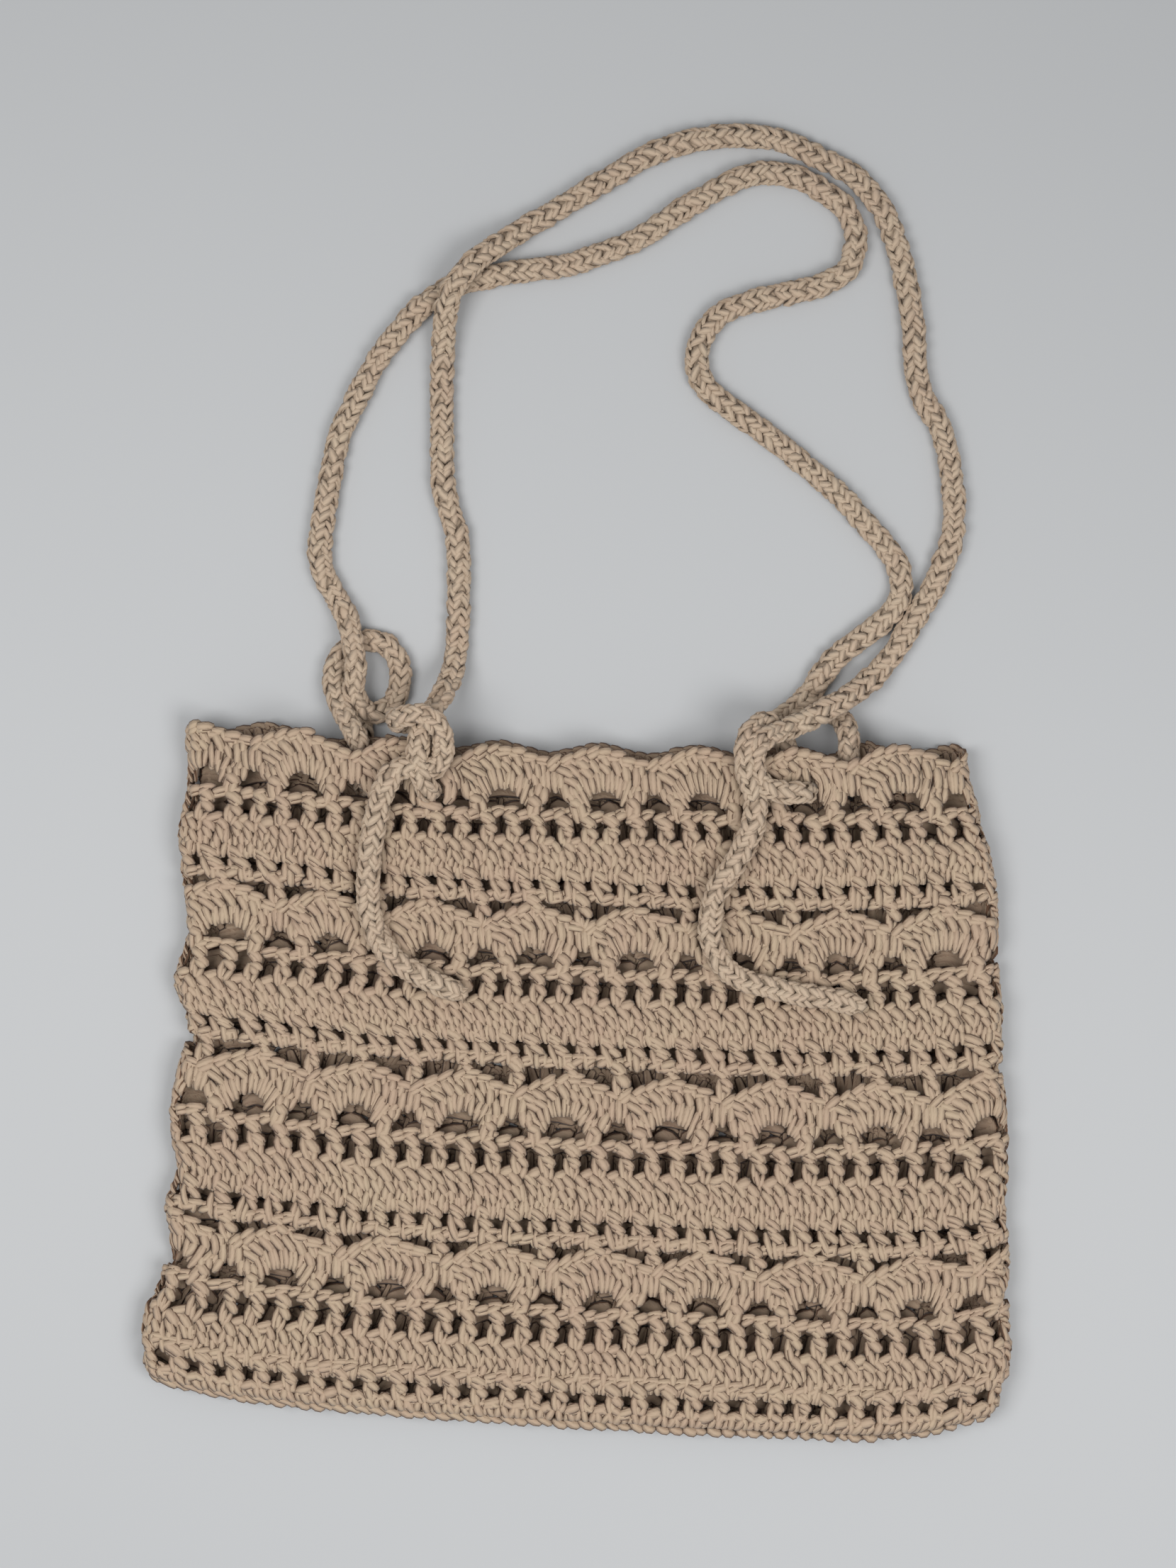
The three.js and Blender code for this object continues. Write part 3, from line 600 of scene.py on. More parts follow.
# The rounds from the seam to the rim: kind, the shares of the height where it starts and ends,
# and the shells by which it leans back on the way
ROUNDS = (
    ("seam", -0.005, 0.022, -0.03),
    ("mesh", 0.016, 0.062, -0.09),
    ("solid", 0.054, 0.112, -0.09),
    ("mesh", 0.107, 0.163, -0.09),
    ("shells", 0.173, 0.267, 0.0),
    ("posts", 0.257, 0.277, -0.088),
    ("wrapped mesh", 0.277, 0.320, -0.088),
    ("solid", 0.3115, 0.373, -0.087),
    ("mesh", 0.3686, 0.4215, -0.087),
    ("shells", 0.4344, 0.531, 0.0),
    ("posts", 0.521, 0.547, -0.083),
    ("wrapped mesh", 0.547, 0.586, -0.083),
    ("solid", 0.5788, 0.634, -0.082),
    ("mesh", 0.630, 0.679, -0.082),
    ("shells", 0.690, 0.778, 0.0),
    ("posts", 0.768, 0.796, -0.05),
    ("wrapped mesh", 0.796, 0.834, -0.05),
    ("solid", 0.8255, 0.878, -0.05),
    ("mesh", 0.873, 0.9185, -0.05),
    ("rim shells", 0.9313, 1.021, 0.0),
)
FIRST_TURN = 1.41
FIRST_SEED = 100

# The stitches above are drawn with this lean, plumper than plain yarn, with their ends tucked in
DRAWN_LEAN = -0.082
PLUMP = 1.28
TUCK = 0.4
TUCK_CURVE = 3

# How one strand and stitch varies from the next
STRAND_JITTER = (0.03, 0.016, 0.14)
STRAND_SWAY = (0.035, 0.014, 0.0)
STITCH_JITTER = (0.06, 0.022, 0.2)
STITCH_TILT = 0.08
WIDTH_JITTER = 0.09


def laid_points(strand, count, moved, rings, random):
    """One strand laid many times, each a little different."""
    points = through(strand, rings)[None] + moved + random.normal(0, 1, (count, 1, 3)) * STRAND_JITTER
    sway = random.normal(0, 1, (count, 1, 3)) * STRAND_SWAY
    share = np.linspace(-1, 1, rings)[None, :, None]
    return points + sway * share - (0, 0, TUCK) * np.abs(share) ** TUCK_CURVE


def picked_kinds(kinds, turns, random):
    """Picks each stitch's kind by chance; the ones on the back get a ring less to a strand."""
    picked = random.integers(len(kinds), size=len(turns))
    behind = turns % SHELLS_AROUND > SHELLS_AROUND / 2
    for number, stitch in enumerate(kinds):
        for fewer in (0, 1):
            here = turns[(picked == number) & (behind == fewer)]
            if len(here):
                yield stitch, here, fewer


def lay_placed(kinds, turns, random, tilt, place):
    """Lays stitches at many turns, each of one kind picked by chance, where place puts them."""
    laid = []
    for stitch, here, fewer in picked_kinds(kinds, turns, random):
        count = len(here)
        moved = random.normal(0, 1, (count, 1, 3)) * STITCH_JITTER
        tilted = random.normal(0, tilt, (count, 1)) if tilt else 0
        for thickness, *strand in stitch:
            points = laid_points(strand, count, moved, len(strand) + 1 - fewer, random)
            share = points[..., 1]
            turn, up = place(points[..., 0] + tilted * (share - 0.5), share)
            radii = YARN * PLUMP * thickness * random.normal(1, WIDTH_JITTER, count)
            laid.append((np.stack([here[:, None] + turn, up, points[..., 2] * LAYER], axis=-1), radii))
    return laid


def lay(kinds, turns, low, high, lean, random):
    """Lays stitches upright in a round."""
    def place(side, share):
        return side / STITCHES_PER_SHELL + lean * share, low + (high - low) * share

    return lay_placed(kinds, turns, random, STITCH_TILT, place)


def stitch_turns(phase, per_shell, offset=0.0):
    """The turns of evenly worked stitches, per_shell of them to each shell."""
    return phase + (np.arange(SHELLS_AROUND * per_shell) + offset) / per_shell


# A shell is eight posts fanned round an arch, with a braided chain on top and a wrapped leg at
# each side down to the chain below. Its own measures are in metres from the arch's foot.
SHELL_HALF = 0.0218
SHELL_PEAK = 0.0255
SHELL_VALLEY = 0.0168
RIM_VALLEY = 0.0183
ARCH_HALF = (0.0086, 0.0084)
ARCH_FOOT = 0.0003
SPOKE_TURNS = (11, 33, 56, 80)
SPOKE_TOPS = (0.0027, 0.0080, 0.0132, 0.0176)
SPOKE_DROP = 0.0012
RIM_CURVE = 1.3
SPOKES = (
    ((.8, (-.15, -.02, .1), (-.22, .16, .9), (-.28, .36, 1.0), (-.3, .58, .2)),
     (.8, (.13, -.02, .2), (.18, .16, 1.0), (.25, .34, 1.1), (.26, .52, .2)),
     (.96, (-.5, .78, .1), (-.18, .7, 1.1), (.18, .56, 1.3), (.46, .4, .2)),
     (.92, (-.48, 1.0, .1), (-.15, .92, 1.1), (.18, .78, 1.3), (.46, .62, .2)),
     (.72, (.0, 1.04, .1), (.2, .98, .9), (.38, .88, 1.0), (.54, .76, .1))),
    ((.82, (-.15, -.02, .2), (-.2, .2, 1.0), (-.3, .42, 1.0), (-.36, .66, .2)),
     (.78, (.13, -.02, .1), (.16, .2, .9), (.16, .4, 1.0), (.14, .6, .2)),
     (.74, (.3, .14, .0), (.32, .3, .6), (.36, .44, .6), (.42, .58, .0)),
     (1.02, (-.46, .94, .1), (-.14, .84, 1.2), (.2, .66, 1.3), (.46, .46, .2)),
     (.82, (-.05, 1.04, .1), (.16, .98, 1.0), (.36, .86, 1.1), (.52, .68, .1))),
)
SPOKE_BACKING = (((1.3, (.0, .02, -.9), (.0, .5, -1.1), (.0, 1.0, -.9)),),)
LEGS = (
    ((1.06, (-.24, -.04, .1), (-.26, .22, 1.1), (-.24, .46, 1.2), (-.16, .62, .1)),
     (1.06, (.22, -.04, .1), (.25, .2, 1.1), (.24, .42, 1.2), (.18, .56, .1)),
     (1.16, (-.5, .66, .1), (-.18, .62, 1.6), (.18, .54, 1.7), (.5, .42, .1)),
     (.92, (-.4, .98, .1), (-.28, .84, 1.2), (-.16, .68, 1.3), (-.04, .56, .2)),
     (.9, (.1, 1.02, .1), (.2, .9, 1.2), (.28, .74, 1.3), (.34, .6, .2))),
)
LEG_ENDS = ((0.0110, -0.0046), (0.0138, 0.0088))
OUTER_LEGS = (
    ((1.0, (-.18, -.02, .1), (-.22, .3, 1.0), (-.2, .62, 1.0), (-.12, 1.02, .1)),
     (1.0, (.18, -.08, .1), (.22, .2, .9), (.24, .46, 1.0), (.2, .76, .1))),
)
OUTER_LEG_ENDS = ((0.0150, 0.0034), (0.0170, 0.0114))
TOP_PAIRS = (
    ((.96, (-.24, -.02, .1), (-.26, .35, .9), (-.24, .7, 1.0), (-.22, 1.02, .1)),
     (.96, (.22, -.05, .1), (.24, .33, .9), (.24, .7, 1.0), (.24, 1.0, .1))),
)
TOP_PAIR_ENDS = ((0.0201, 0.0072), (0.0198, 0.0168))

# A loop of the braid along a shell's top, measured along the braid instead of up the round
RIM_LOOPS = (
    ((.9, (.16, -.22, .1), (-.02, .18, 1.2), (-.17, .62, 1.3), (-.26, 1.06, .1)),
     (.86, (.52, -.26, .1), (.36, .14, 1.0), (.18, .58, 1.1), (.06, 1.02, .1))),
    ((.96, (.2, -.16, .1), (.0, .24, 1.2), (-.14, .64, 1.3), (-.22, 1.02, .1)),
     (.84, (.48, -.32, .1), (.4, .1, .9), (.26, .54, 1.0), (.12, .94, .1))),
)


def rim_height(side, valley, peak):
    """How high the top of a shell is above its foot, at a distance from its middle."""
    return valley + (peak - valley) * (1 - (np.abs(side) / SHELL_HALF) ** RIM_CURVE)


def lay_between(kinds, foot, head, width, turns, low, random):
    """Lays stitches along a straight line from foot to head, both measured in a shell."""
    run = np.subtract(head, foot)
    across = np.array([run[1], -run[0]]) / np.linalg.norm(run)

    def place(side, share):
        flat = foot + share[..., None] * run + side[..., None] * width * across
        return flat[..., 0] / (2 * SHELL_HALF), low + flat[..., 1] / BAG_HEIGHT

    return lay_placed(kinds, turns, random, 0, place)


# Where the back panel lies pressed against the front one, slack loops inside close its gaps
SLACK_LOOPS = (
    ((1.6, (-.5, .06, -1.8), (-.18, .42, -1.3), (.18, .48, -1.3), (.5, .08, -1.8)),
     (1.6, (-.46, -.3, -1.9), (-.14, .04, -1.4), (.16, .08, -1.4), (.46, -.26, -1.9)),
     (1.5, (-.34, .7, -1.9), (-.06, .86, -1.4), (.12, .9, -1.4), (.38, .74, -1.9))),
)
SLACK_BARS = (
    ((1.75, (-.75, .34, -1.9), (-.25, .46, -1.4), (.25, .54, -1.4), (.75, .44, -1.9)),
     (1.7, (-.75, .66, -1.9), (-.25, .76, -1.5), (.25, .84, -1.5), (.75, .76, -1.9))),
    ((1.8, (-.75, .28, -1.9), (-.25, .44, -1.5), (.25, .4, -1.5), (.75, .24, -1.9)),
     (1.7, (-.75, .8, -1.9), (-.25, .72, -1.4), (.25, .66, -1.4), (.75, .62, -1.9))),
)
SLACK_RISE = 0.0060
SLACK_WIDTH = 0.0180


def on_back(turns):
    """Those of the turns that lie on the back panel."""
    return turns[turns % SHELLS_AROUND > SHELLS_AROUND / 2]


def lay_slack(low, turns, random):
    """Slack loops behind the arches of the back's shells and between them."""
    laid = []
    for part in (0, 0.5):
        width = SLACK_WIDTH * (1 - part)
        here = on_back(turns + part)
        laid += lay_between(SLACK_LOOPS, (0, 0), (0, SLACK_RISE), width, here, low, random)
    return laid


def lay_shells(low, valley, peak, turns, random):
    """Whole shells, side by side round the bag: spokes, legs, and the braid on top."""
    laid = []
    width = 2 * SHELL_HALF / STITCHES_PER_SHELL
    for side in (-1, 1):
        for swing, top in zip(SPOKE_TURNS, SPOKE_TOPS):
            angle = math.radians(swing)
            foot = (side * ARCH_HALF[0] * math.sin(angle), ARCH_FOOT + ARCH_HALF[1] * math.cos(angle))
            head = (side * top, float(rim_height(top, valley, peak)) - SPOKE_DROP)
            laid += lay_between(SPOKES, foot, head, width, turns, low, random)
            laid += lay_between(SPOKE_BACKING, foot, head, width, turns, low, random)
        for kinds, ends in ((LEGS, LEG_ENDS), (OUTER_LEGS, OUTER_LEG_ENDS), (TOP_PAIRS, TOP_PAIR_ENDS)):
            foot, head = ((side * across, up) for across, up in ends)
            laid += lay_between(kinds, foot, head, width, turns, low, random)
    for step in range(STITCHES_PER_SHELL):
        left, right = step * width - SHELL_HALF, (step + 1) * width - SHELL_HALF
        ends = [(place, float(rim_height(place, valley, peak))) for place in (left, right)]
        laid += lay_between(RIM_LOOPS, ends[0], ends[1], width, turns, low, random)
    return laid


# How posts and chains are spread, and how far they reach past the ends of their round
POSTS_PER_SHELL = 4
CHAIN_OFFSET = 0.3
CHAIN_DEPTH = 0.0105
CHAIN_SINKS = {"mesh": 0.0005, "posts": 0.003}
POST_FEET = (0.0165, 0.0205)
POST_OVERLAP = 0.001
BARS_DROP = 0.008

phase = FIRST_TURN
for number, (kind, low, high, lean) in enumerate(ROUNDS):
    random = np.random.default_rng(FIRST_SEED + number)
    slant = lean - DRAWN_LEAN
    close = stitch_turns(phase, STITCHES_PER_SHELL)
    spaced = stitch_turns(phase, POSTS_PER_SHELL)
    between = stitch_turns(phase, POSTS_PER_SHELL, 0.5)
    chains = stitch_turns(phase + lean, STITCHES_PER_SHELL, CHAIN_OFFSET)
    peaks = phase + np.arange(SHELLS_AROUND)
    valleys = phase + 0.5 + np.arange(SHELLS_AROUND)
    laid = []
    if kind == "seam":
        laid += lay(SEAM_STITCHES, close, low, high, 0, random)
    elif kind == "solid":
        laid += lay(SOLID_STITCHES, close, low, high, slant, random)
        laid += lay(SOLID_BACKING, close, low, high, slant, random)
    elif kind in ("mesh", "wrapped mesh"):
        laid += lay(MESH_POSTS if kind == "mesh" else WRAPPED_POSTS, spaced, low, high, slant, random)
        laid += lay(POST_BACKING, spaced, low, high, slant, random)
        laid += lay(SLACK_BARS, on_back(between), low, high, slant, random)
        if kind == "mesh":
            laid += lay(PAIRS_BETWEEN, between, low, high, 0, random)
    elif kind in ("shells", "rim shells"):
        valley = SHELL_VALLEY if kind == "shells" else RIM_VALLEY
        laid += lay_shells(low, valley, SHELL_PEAK, peaks, random)
        laid += lay_slack(low, peaks, random)
    elif kind == "posts":
        shell_low = ROUNDS[number - 1][1]
        laid += lay(SLACK_BARS, on_back(close), low - BARS_DROP, high, slant, random)
        for turns, foot in zip((valleys, peaks), POST_FEET):
            foot = shell_low + foot / BAG_HEIGHT
            laid += lay(MESH_POSTS, turns, foot, high + POST_OVERLAP, slant, random)
    if kind in CHAIN_SINKS:
        foot = high - CHAIN_SINKS[kind]
        laid += lay(CHAIN_LOOPS, chains, foot, foot + CHAIN_DEPTH, 0, random)
    phase += lean
    piece = yarn_piece(f"round_{number:02d}_{kind.replace(' ', '_')}", on_bag, laid, BAG_COTTON, number)
    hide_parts("bag_body")
    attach(piece, "root")


# The cords
# The straps, their knots and the two tails are cotton cord: four columns of short V stitches,
# crocheted round a core, that turn a little as the cord runs. A place on a cord is its distance
# along, the turn round its section, and how far out.

CORD_WIDTH = 0.0104
CORD_DEPTH = 0.0074
CORD_STRAND = YARN * 0.8
END_ROUNDING = 0.45
END_OPEN = 0.1

# A cord's section is level, except where the cord climbs more steeply than this
STEEP = 0.25
SPAN_STEPS = 24
PATH_STEP = 0.001
LEAST_STEPS = 8

# light and warm are the cord's beige; deep is the colour of its painted shade, and the last value is
# how much shade is painted at strand edges
CORD_COTTON = cotton("cord cotton", light=(.525, .415, .305), warm=(.495, .370, .272),
                     deep=(.19, .13, .085), edge_shade_share=0.5)


def blend(first, second, start, end, t):
    """Goes straight from the first point to the second one while t goes from start to end."""
    return (end - t) / (end - start) * first + (t - start) / (end - start) * second


def centripetal(route):
    """The cord's middle line: a smooth curve through its given points, in even steps."""
    knots = np.array(route, float)
    knots = np.vstack([2 * knots[0] - knots[1], knots, 2 * knots[-1] - knots[-2]])
    line = []
    for i in range(len(knots) - 3):
        p0, p1, p2, p3 = knots[i:i + 4]
        t0 = 0.0
        t1 = t0 + math.sqrt(np.linalg.norm(p1 - p0))
        t2 = t1 + math.sqrt(np.linalg.norm(p2 - p1))
        t3 = t2 + math.sqrt(np.linalg.norm(p3 - p2))
        t = np.linspace(t1, t2, SPAN_STEPS, endpoint=i == len(knots) - 4)[:, None]
        middle = blend(p1, p2, t1, t2, t)
        before = blend(blend(p0, p1, t0, t1, t), middle, t0, t2, t)
        after = blend(middle, blend(p2, p3, t2, t3, t), t1, t3, t)
        line.append(blend(before, after, t1, t2, t))
    line = np.concatenate(line)
    gone = np.concatenate([[0], np.cumsum(np.linalg.norm(np.diff(line, axis=0), axis=1))])
    steps = np.linspace(0, gone[-1], max(LEAST_STEPS, round(gone[-1] / PATH_STEP)))
    return np.stack([np.interp(steps, gone, line[:, axis]) for axis in range(3)], axis=-1), gone[-1]


class Cord:
    """A middle line with level sections: the wide side lies flat wherever it can."""

    def __init__(self, route, width, depth, rounded_end=False):
        self.line, self.length = centripetal(route)
        self.steps = np.linspace(0, self.length, len(self.line))
        self.width = width
        self.depth = depth
        self.rounded_end = rounded_end
        self.along = unit(np.gradient(self.line, axis=0))
        side = None
        sides = []
        for tangent in self.along:
            level = np.cross((0, 0, 1), tangent)
            if side is None or np.linalg.norm(level) > STEEP:
                side = -level if side is not None and level @ side < 0 else level
            else:
                side = side - (side @ tangent) * tangent
            side = side / np.linalg.norm(side)
            sides.append(side)
        self.side = np.array(sides)
        self.over = np.cross(self.along, self.side)
        self.over *= np.where(self.over[:, 2:3].mean() < 0, -1, 1)

    def read(self, values, at):
        return np.stack([np.interp(at, self.steps, values[:, axis]) for axis in range(3)], axis=-1)

    def __call__(self, at, angle, out):
        near = np.clip(at, 0, self.length)
        middle = self.read(self.line, near)
        past = (at - near)[..., None] * self.read(self.along, near)
        side = self.read(self.side, near)
        over = self.read(self.over, near)
        wide = (self.width / 2 - CORD_STRAND + out)[..., None] * np.cos(angle)[..., None] * side
        deep = (self.depth / 2 - CORD_STRAND + out)[..., None] * np.sin(angle)[..., None] * over
        if self.rounded_end:
            closing = np.clip(np.abs(at - self.length) / (self.width * END_ROUNDING), 0, 1)
            shrink = np.sqrt(1 - (1 - closing) ** 2) * (1 - END_OPEN) + END_OPEN
        else:
            shrink = np.ones(at.shape)
        places = middle + past + (wide + deep) * shrink[..., None]
        places[..., 2] = above_table(places[..., 2])
        return places


# The leaves of one V stitch: along in stitches, round in degrees, out in layers
CORD_COLUMNS = 4
CORD_STITCH = 0.0070
CORD_STITCHES = (
    ((1.06, (-.56, -50, -.2), (-.18, -28, .6), (.2, 4, .1)),
     (1.06, (-.14, -52, -.2), (.18, -28, .6), (.54, 6, .1)),
     (1.06, (-.48, 50, -.2), (-.1, 26, .6), (.28, -4, .0)),
     (1.02, (-.06, 52, -.2), (.26, 28, .6), (.6, -2, .0))),
    ((1.12, (-.6, -48, -.2), (-.2, -30, .7), (.24, -2, .0)),
     (1.02, (-.22, -52, -.2), (.14, -24, .6), (.5, 10, .1)),
     (1.14, (-.38, 52, -.2), (.02, 28, .7), (.4, -6, .1)),
     (.98, (.0, 54, -.3), (.3, 32, .5), (.62, 4, .0))),
    ((1.04, (-.5, -54, -.3), (-.14, -34, .5), (.22, -6, .1)),
     (1.14, (-.22, -46, -.2), (.18, -22, .7), (.56, 8, .1)),
     (1.08, (-.58, 46, -.2), (-.2, 28, .6), (.18, -8, .1)),
     (1.06, (-.18, 54, -.2), (.18, 28, .6), (.54, 0, .0))),
)
LEAF_JITTER = (0.06, 3.5, 0.15)
SETBACK = 0.3

# The cord's steady turn in radians a metre, and the swing to and fro on top of it
CORD_TURN = 12
CORD_SWING = 0.32
SWING_LENGTH = 0.11

CORE_RINGS = 4
CORE_REACH = 0.7
CORE_SHARE = 0.42


def crocheted_cord(name, cord, seed):
    """A cord's stitches, each second column half a stitch on, and the core inside them."""
    random = np.random.default_rng(seed)
    count = round(cord.length / CORD_STITCH)
    pitch = cord.length / count
    at = (np.arange(count) + 0.5) * pitch
    laid = []
    for column in range(CORD_COLUMNS):
        picked = random.integers(len(CORD_STITCHES), size=count)
        for number in np.unique(picked):
            stitch = CORD_STITCHES[number]
            here = at[picked == number] + pitch * (column % 2 / 2 - SETBACK)
            moved = random.normal(0, 1, (len(here), 1, 3)) * LEAF_JITTER
            for thickness, *strand in stitch:
                points = through(strand, len(strand) + 1)[None] + moved
                points = points + random.normal(0, 1, (len(here), 1, 3)) * LEAF_JITTER
                place = here[:, None] + points[..., 0] * pitch
                wound = CORD_SWING * np.sin(place / SWING_LENGTH + seed) + place * CORD_TURN
                angle = np.radians(points[..., 1] + column * 360 / CORD_COLUMNS) + wound
                radii = YARN * thickness * random.normal(1, WIDTH_JITTER, len(here))
                laid.append((np.stack([place, angle, points[..., 2] * LAYER], axis=-1), radii))
    core = at[:, None] + np.linspace(-CORE_REACH, CORE_REACH, CORE_RINGS)[None] * pitch
    upright = np.full_like(core, math.pi / 2)
    inner = np.full_like(core, CORD_STRAND - cord.depth / 2)
    laid.append((np.stack([core, upright, inner], axis=-1), np.full(count, cord.width * CORE_SHARE)))
    return yarn_piece(name, cord, laid, CORD_COTTON, seed)


MILLIMETRES = 1000
REST = 3.8


def route(*points):
    """A route through points in millimetres: those with no height of their own rest on the table."""
    return [tuple(value / MILLIMETRES for value in (*point, REST)[:3]) for point in points]


# The cords' middle lines, as they lie in the photograph
FRONT_STRAP = route(
    (-56, 161, 18), (-52, 170, 10), (-50, 182, 4.4), (-49, 198), (-49, 217), (-50, 232),
    (-55, 248), (-56, 271), (-56, 295), (-55, 316, 7.4), (-52, 331, 12.4), (-43, 344, 12),
    (-33, 352, 8.6), (-20, 361, 4.4), (-3, 371), (15, 382), (32, 392), (48, 397), (69, 400),
    (87, 398), (103, 391), (118, 383), (130, 370), (137, 353), (141, 337), (144, 319), (145, 301),
    (148, 289), (155, 277), (159, 262), (161, 247), (161, 233), (158, 221), (150, 204),
    (140, 187.5), (132, 176, 4.4), (123, 167, 8), (113, 160, 13.6), (102, 154, 18),
    (92, 149, 21.4),
)
BACK_STRAP = route(
    (-96, 195, 6), (-101, 204, 4), (-106, 213), (-108, 223), (-106, 239), (-103, 257), (-99, 274),
    (-93, 287), (-85, 302), (-75, 316), (-64, 328), (-52, 336), (-36, 340), (-19, 343), (-3, 345),
    (12, 350), (27, 356), (42, 366), (57, 375), (71, 382), (84, 384), (95, 382), (106, 376),
    (115, 369), (119, 360), (119, 352), (116, 343), (106, 337), (90, 333), (73, 329), (61, 323),
    (54, 314), (52, 304), (56, 293), (68, 283), (83, 272), (98, 260), (111, 249), (123, 236),
    (132, 226), (138, 215), (138.6, 205), (133, 196), (125, 189), (114, 181), (106, 172),
    (101, 164),
)
LEFT_TAIL = route(
    (-76, 129, 29), (-80, 119, 28.8), (-83, 108, 28.2), (-85, 96, 26), (-86, 82, 22.2),
    (-85, 69, 19.4), (-78, 54, 18.6), (-67, 46, 18.6), (-57, 41, 18.7), (-47, 37, 18.7),
)
RIGHT_TAIL = route(
    (76, 118, 29), (74, 106, 28.4), (67, 92, 26.2), (59, 78, 22), (57, 62, 19), (61, 51, 18.6),
    (70, 43, 18.6), (81, 40, 18.7), (93, 37, 18.7), (107, 35, 18.8), (120, 32, 18.8),
)

# The knots are drawn tight, so their cord is narrower: solid, part of it, seed and route
TIED_WIDTH = 0.0098
TIED_DEPTH = 0.0067
KNOTS = (
    ("knot_front_left", "", 40, route(
        (-56, 161, 18), (-60, 154, 23), (-64, 146, 28), (-65, 135, 29), (-62, 125, 28.4),
        (-59.5, 121, 24), (-59.5, 121.5, 18.6), (-61, 127, 15.8), (-62, 137, 15.8),
        (-64, 147, 16.4), (-71, 151, 20),
    )),
    ("knot_front_left", "_loop", 41, route(
        (-71, 151, 20), (-75, 151, 25), (-70, 153, 31), (-62, 153.5, 33), (-55.5, 148, 31.5),
        (-54, 140, 29), (-56, 133, 28), (-62, 131, 29), (-70, 132, 29), (-76, 129, 29),
    )),
    ("knot_front_right", "", 43, route(
        (92, 149, 21.4), (84, 146, 26), (77, 141, 30), (75, 133, 29), (78, 125, 28.6),
        (87, 121.4, 28.4), (95, 121, 26.8), (98.5, 121.6, 21.6), (96, 125, 16.8),
        (93, 131, 16), (90, 138, 15.9), (87, 147, 16.6), (80, 151, 21), (74, 147, 27),
        (71, 138, 30), (72, 128, 30), (76, 118, 29),
    )),
    ("knot_back_left", "", 46, route(
        (-96, 195, 6), (-94, 187, 9), (-92, 174, 11.4), (-93, 163, 9), (-87, 155, 5),
        (-78, 158, 4), (-74, 167), (-75, 178), (-82, 185), (-92, 185, 3.6), (-100, 178),
        (-102, 169, 5), (-100, 160, 8), (-96, 152, 12), (-91, 144, 15.6), (-88.5, 135, 16),
        (-88, 127, 15), (-88, 122.4, 10), (-88.5, 127, 4.6), (-89, 138, 3.5), (-90, 150, 3.5),
        (-91, 160, 5),
    )),
    ("knot_back_right", "", 49, route(
        (101, 164), (93, 157, 3.6), (86, 150, 3.5), (83, 142, 3.5), (86, 132, 3.5),
        (95, 126, 3.5), (106, 123.6, 4.6), (113.5, 123.6, 10), (115, 128, 15),
        (115.5, 136, 15.8), (115.5, 145, 13.4), (113, 152, 7), (107, 156), (98, 160),
    )),
)

knots = {}
for cad_name, part, seed, run in KNOTS:
    cord = Cord(run, TIED_WIDTH, TIED_DEPTH)
    knot = crocheted_cord(f"{cad_name}{part}_crochet", cord, seed)
    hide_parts(cad_name)
    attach(knot, "root")
    knots.setdefault(cad_name, []).append(knot)

# Each cord's route, what its far end does, the knots that go with it, and its seed
STRAPS = (
    ("strap_front", FRONT_STRAP, "object", ("knot_front_left", "knot_front_right"), 11),
    ("strap_back", BACK_STRAP, "object", ("knot_back_left", "knot_back_right"), 12),
    ("tail_front_left", LEFT_TAIL, "bare", (), 13),
    ("tail_front_right", RIGHT_TAIL, "bare", (), 14),
)
for cad_name, run, far_end, tied, seed in STRAPS:
    cord = Cord(run, CORD_WIDTH, CORD_DEPTH, rounded_end=far_end == "bare")
    strap = crocheted_cord(f"{cad_name}_crochet", cord, seed)
    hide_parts(cad_name)
    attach(strap, "root")
    tied_pieces = [knot for name in tied for knot in knots[name]]
    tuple(run[0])


# The surface it lies on, the light and the camera
# The bag lies on a pale grey table, photographed from straight above in soft light from a window
# and the room's ceiling.

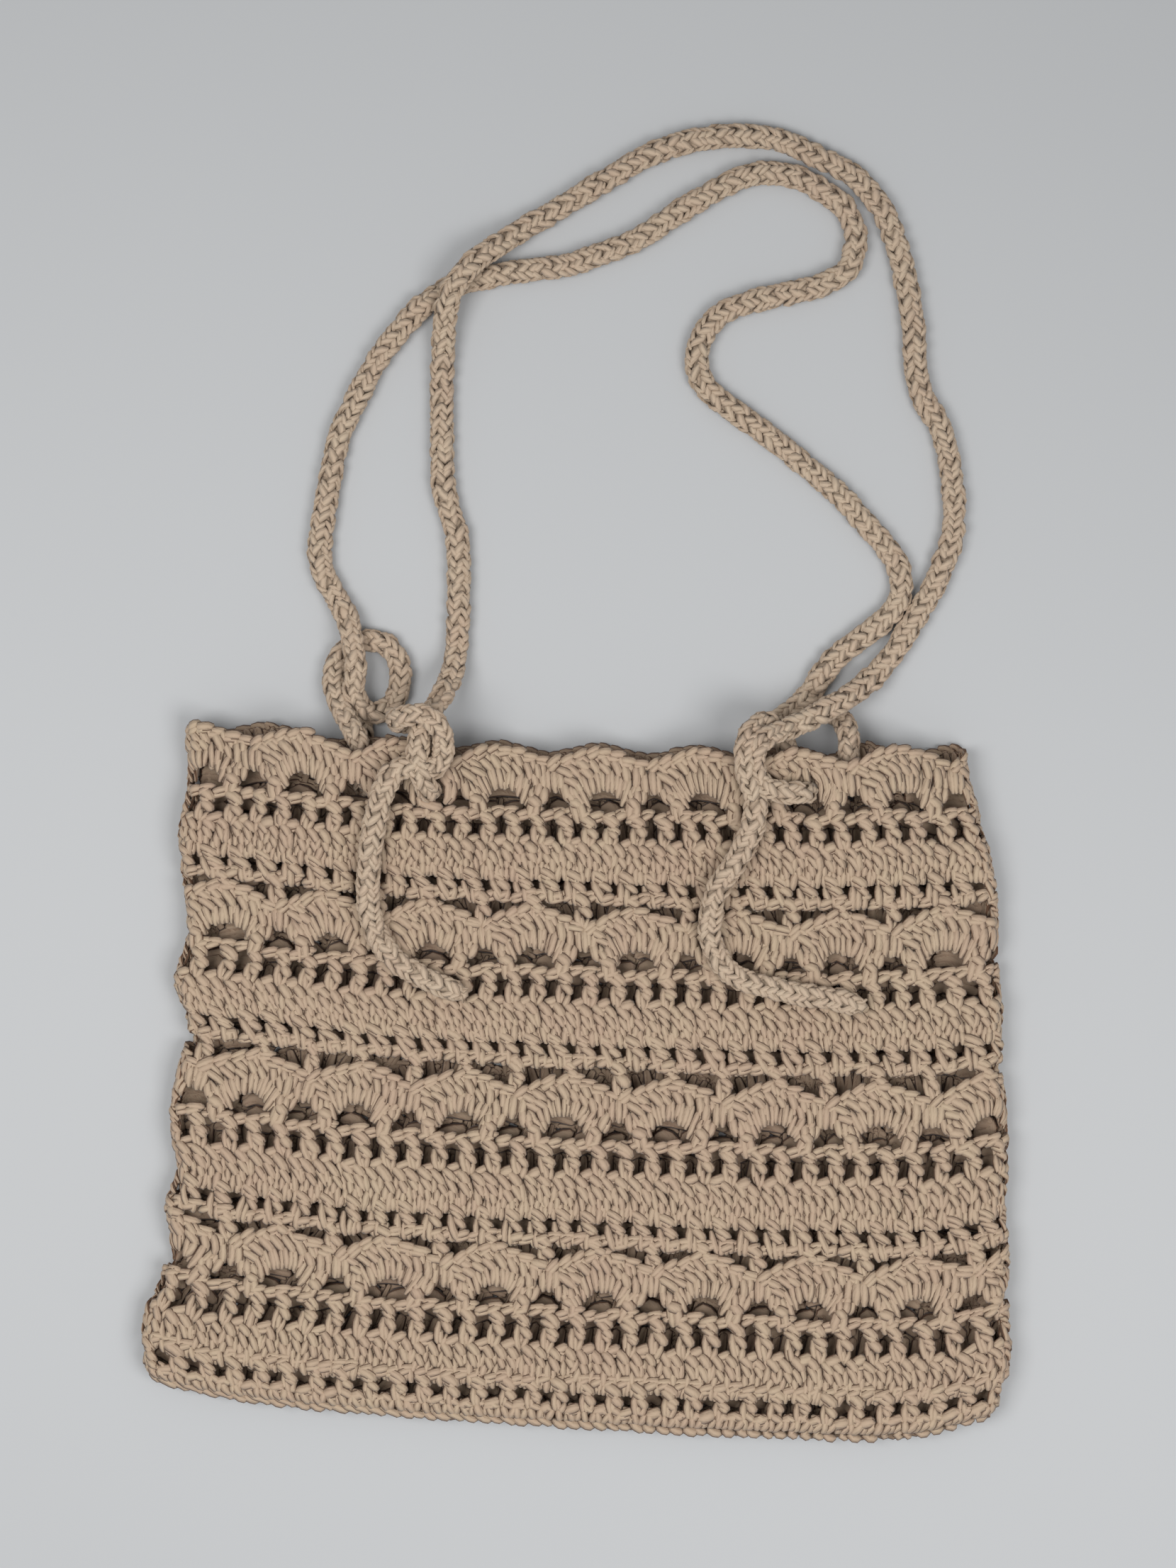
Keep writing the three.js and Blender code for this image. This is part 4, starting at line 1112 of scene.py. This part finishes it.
FLOOR_SIZE = 5.0
FLOOR_MIDDLE = (0, 0.12, 0)
TABLE_GREY = (.47, .475, .48, 1)
TABLE_ROUGHNESS = 0.7
bpy.ops.mesh.primitive_plane_add(size=FLOOR_SIZE, location=FLOOR_MIDDLE)
floor = bpy.context.object
floor.name = "table_top"
floor.data.transform(floor.matrix_world)
floor.location = (0, 0, 0)
table = bpy.data.materials.new("pale table")
table.use_nodes = True
shader = table.node_tree.nodes["Principled BSDF"]
shader.inputs["Base Color"].default_value = TABLE_GREY
shader.inputs["Roughness"].default_value = TABLE_ROUGHNESS
floor.data.materials.append(table)

ROOM_COLOUR = (.94, .97, 1.0, 1)
ROOM_LIGHT = 0.38
world = bpy.data.worlds.new("soft room")
bpy.context.scene.world = world
world.use_nodes = True
world.node_tree.nodes["Background"].inputs[0].default_value = ROOM_COLOUR
world.node_tree.nodes["Background"].inputs[1].default_value = ROOM_LIGHT

LIGHT_SIZE = 0.6
LIGHT_POWER = 6.6
LIT_PLACE = (0, -0.05, 0)
for name, place in (("window", (-.5, .05, 1.0)), ("ceiling", (.5, -.25, 1.0))):
    data = bpy.data.lights.new(name, "AREA")
    data.energy = LIGHT_POWER
    data.size = LIGHT_SIZE
    light = bpy.data.objects.new(name, data)
    bpy.context.scene.collection.objects.link(light)
    light.location = place
    toward = np.array(LIT_PLACE) - np.array(place)
    light.rotation_mode = "QUATERNION"
    light.rotation_quaternion = Vector(toward).to_track_quat("-Z", "Y")

SHOT_CENTRE = (0.0059, 0.1248)
SHOT_HEIGHT = 0.6636
SHOT_DISTANCE = 1.2
SHOT_LEVEL = 0.007
SENSOR = 36
camera_data = bpy.data.cameras.new("camera")
camera_data.sensor_width = SENSOR
camera_data.lens = SENSOR * SHOT_DISTANCE / SHOT_HEIGHT
camera = bpy.data.objects.new("camera", camera_data)
bpy.context.scene.collection.objects.link(camera)
camera.location = (*SHOT_CENTRE, SHOT_LEVEL + SHOT_DISTANCE)
bpy.context.scene.camera = camera
bpy.context.scene.view_settings.view_transform = "Standard"
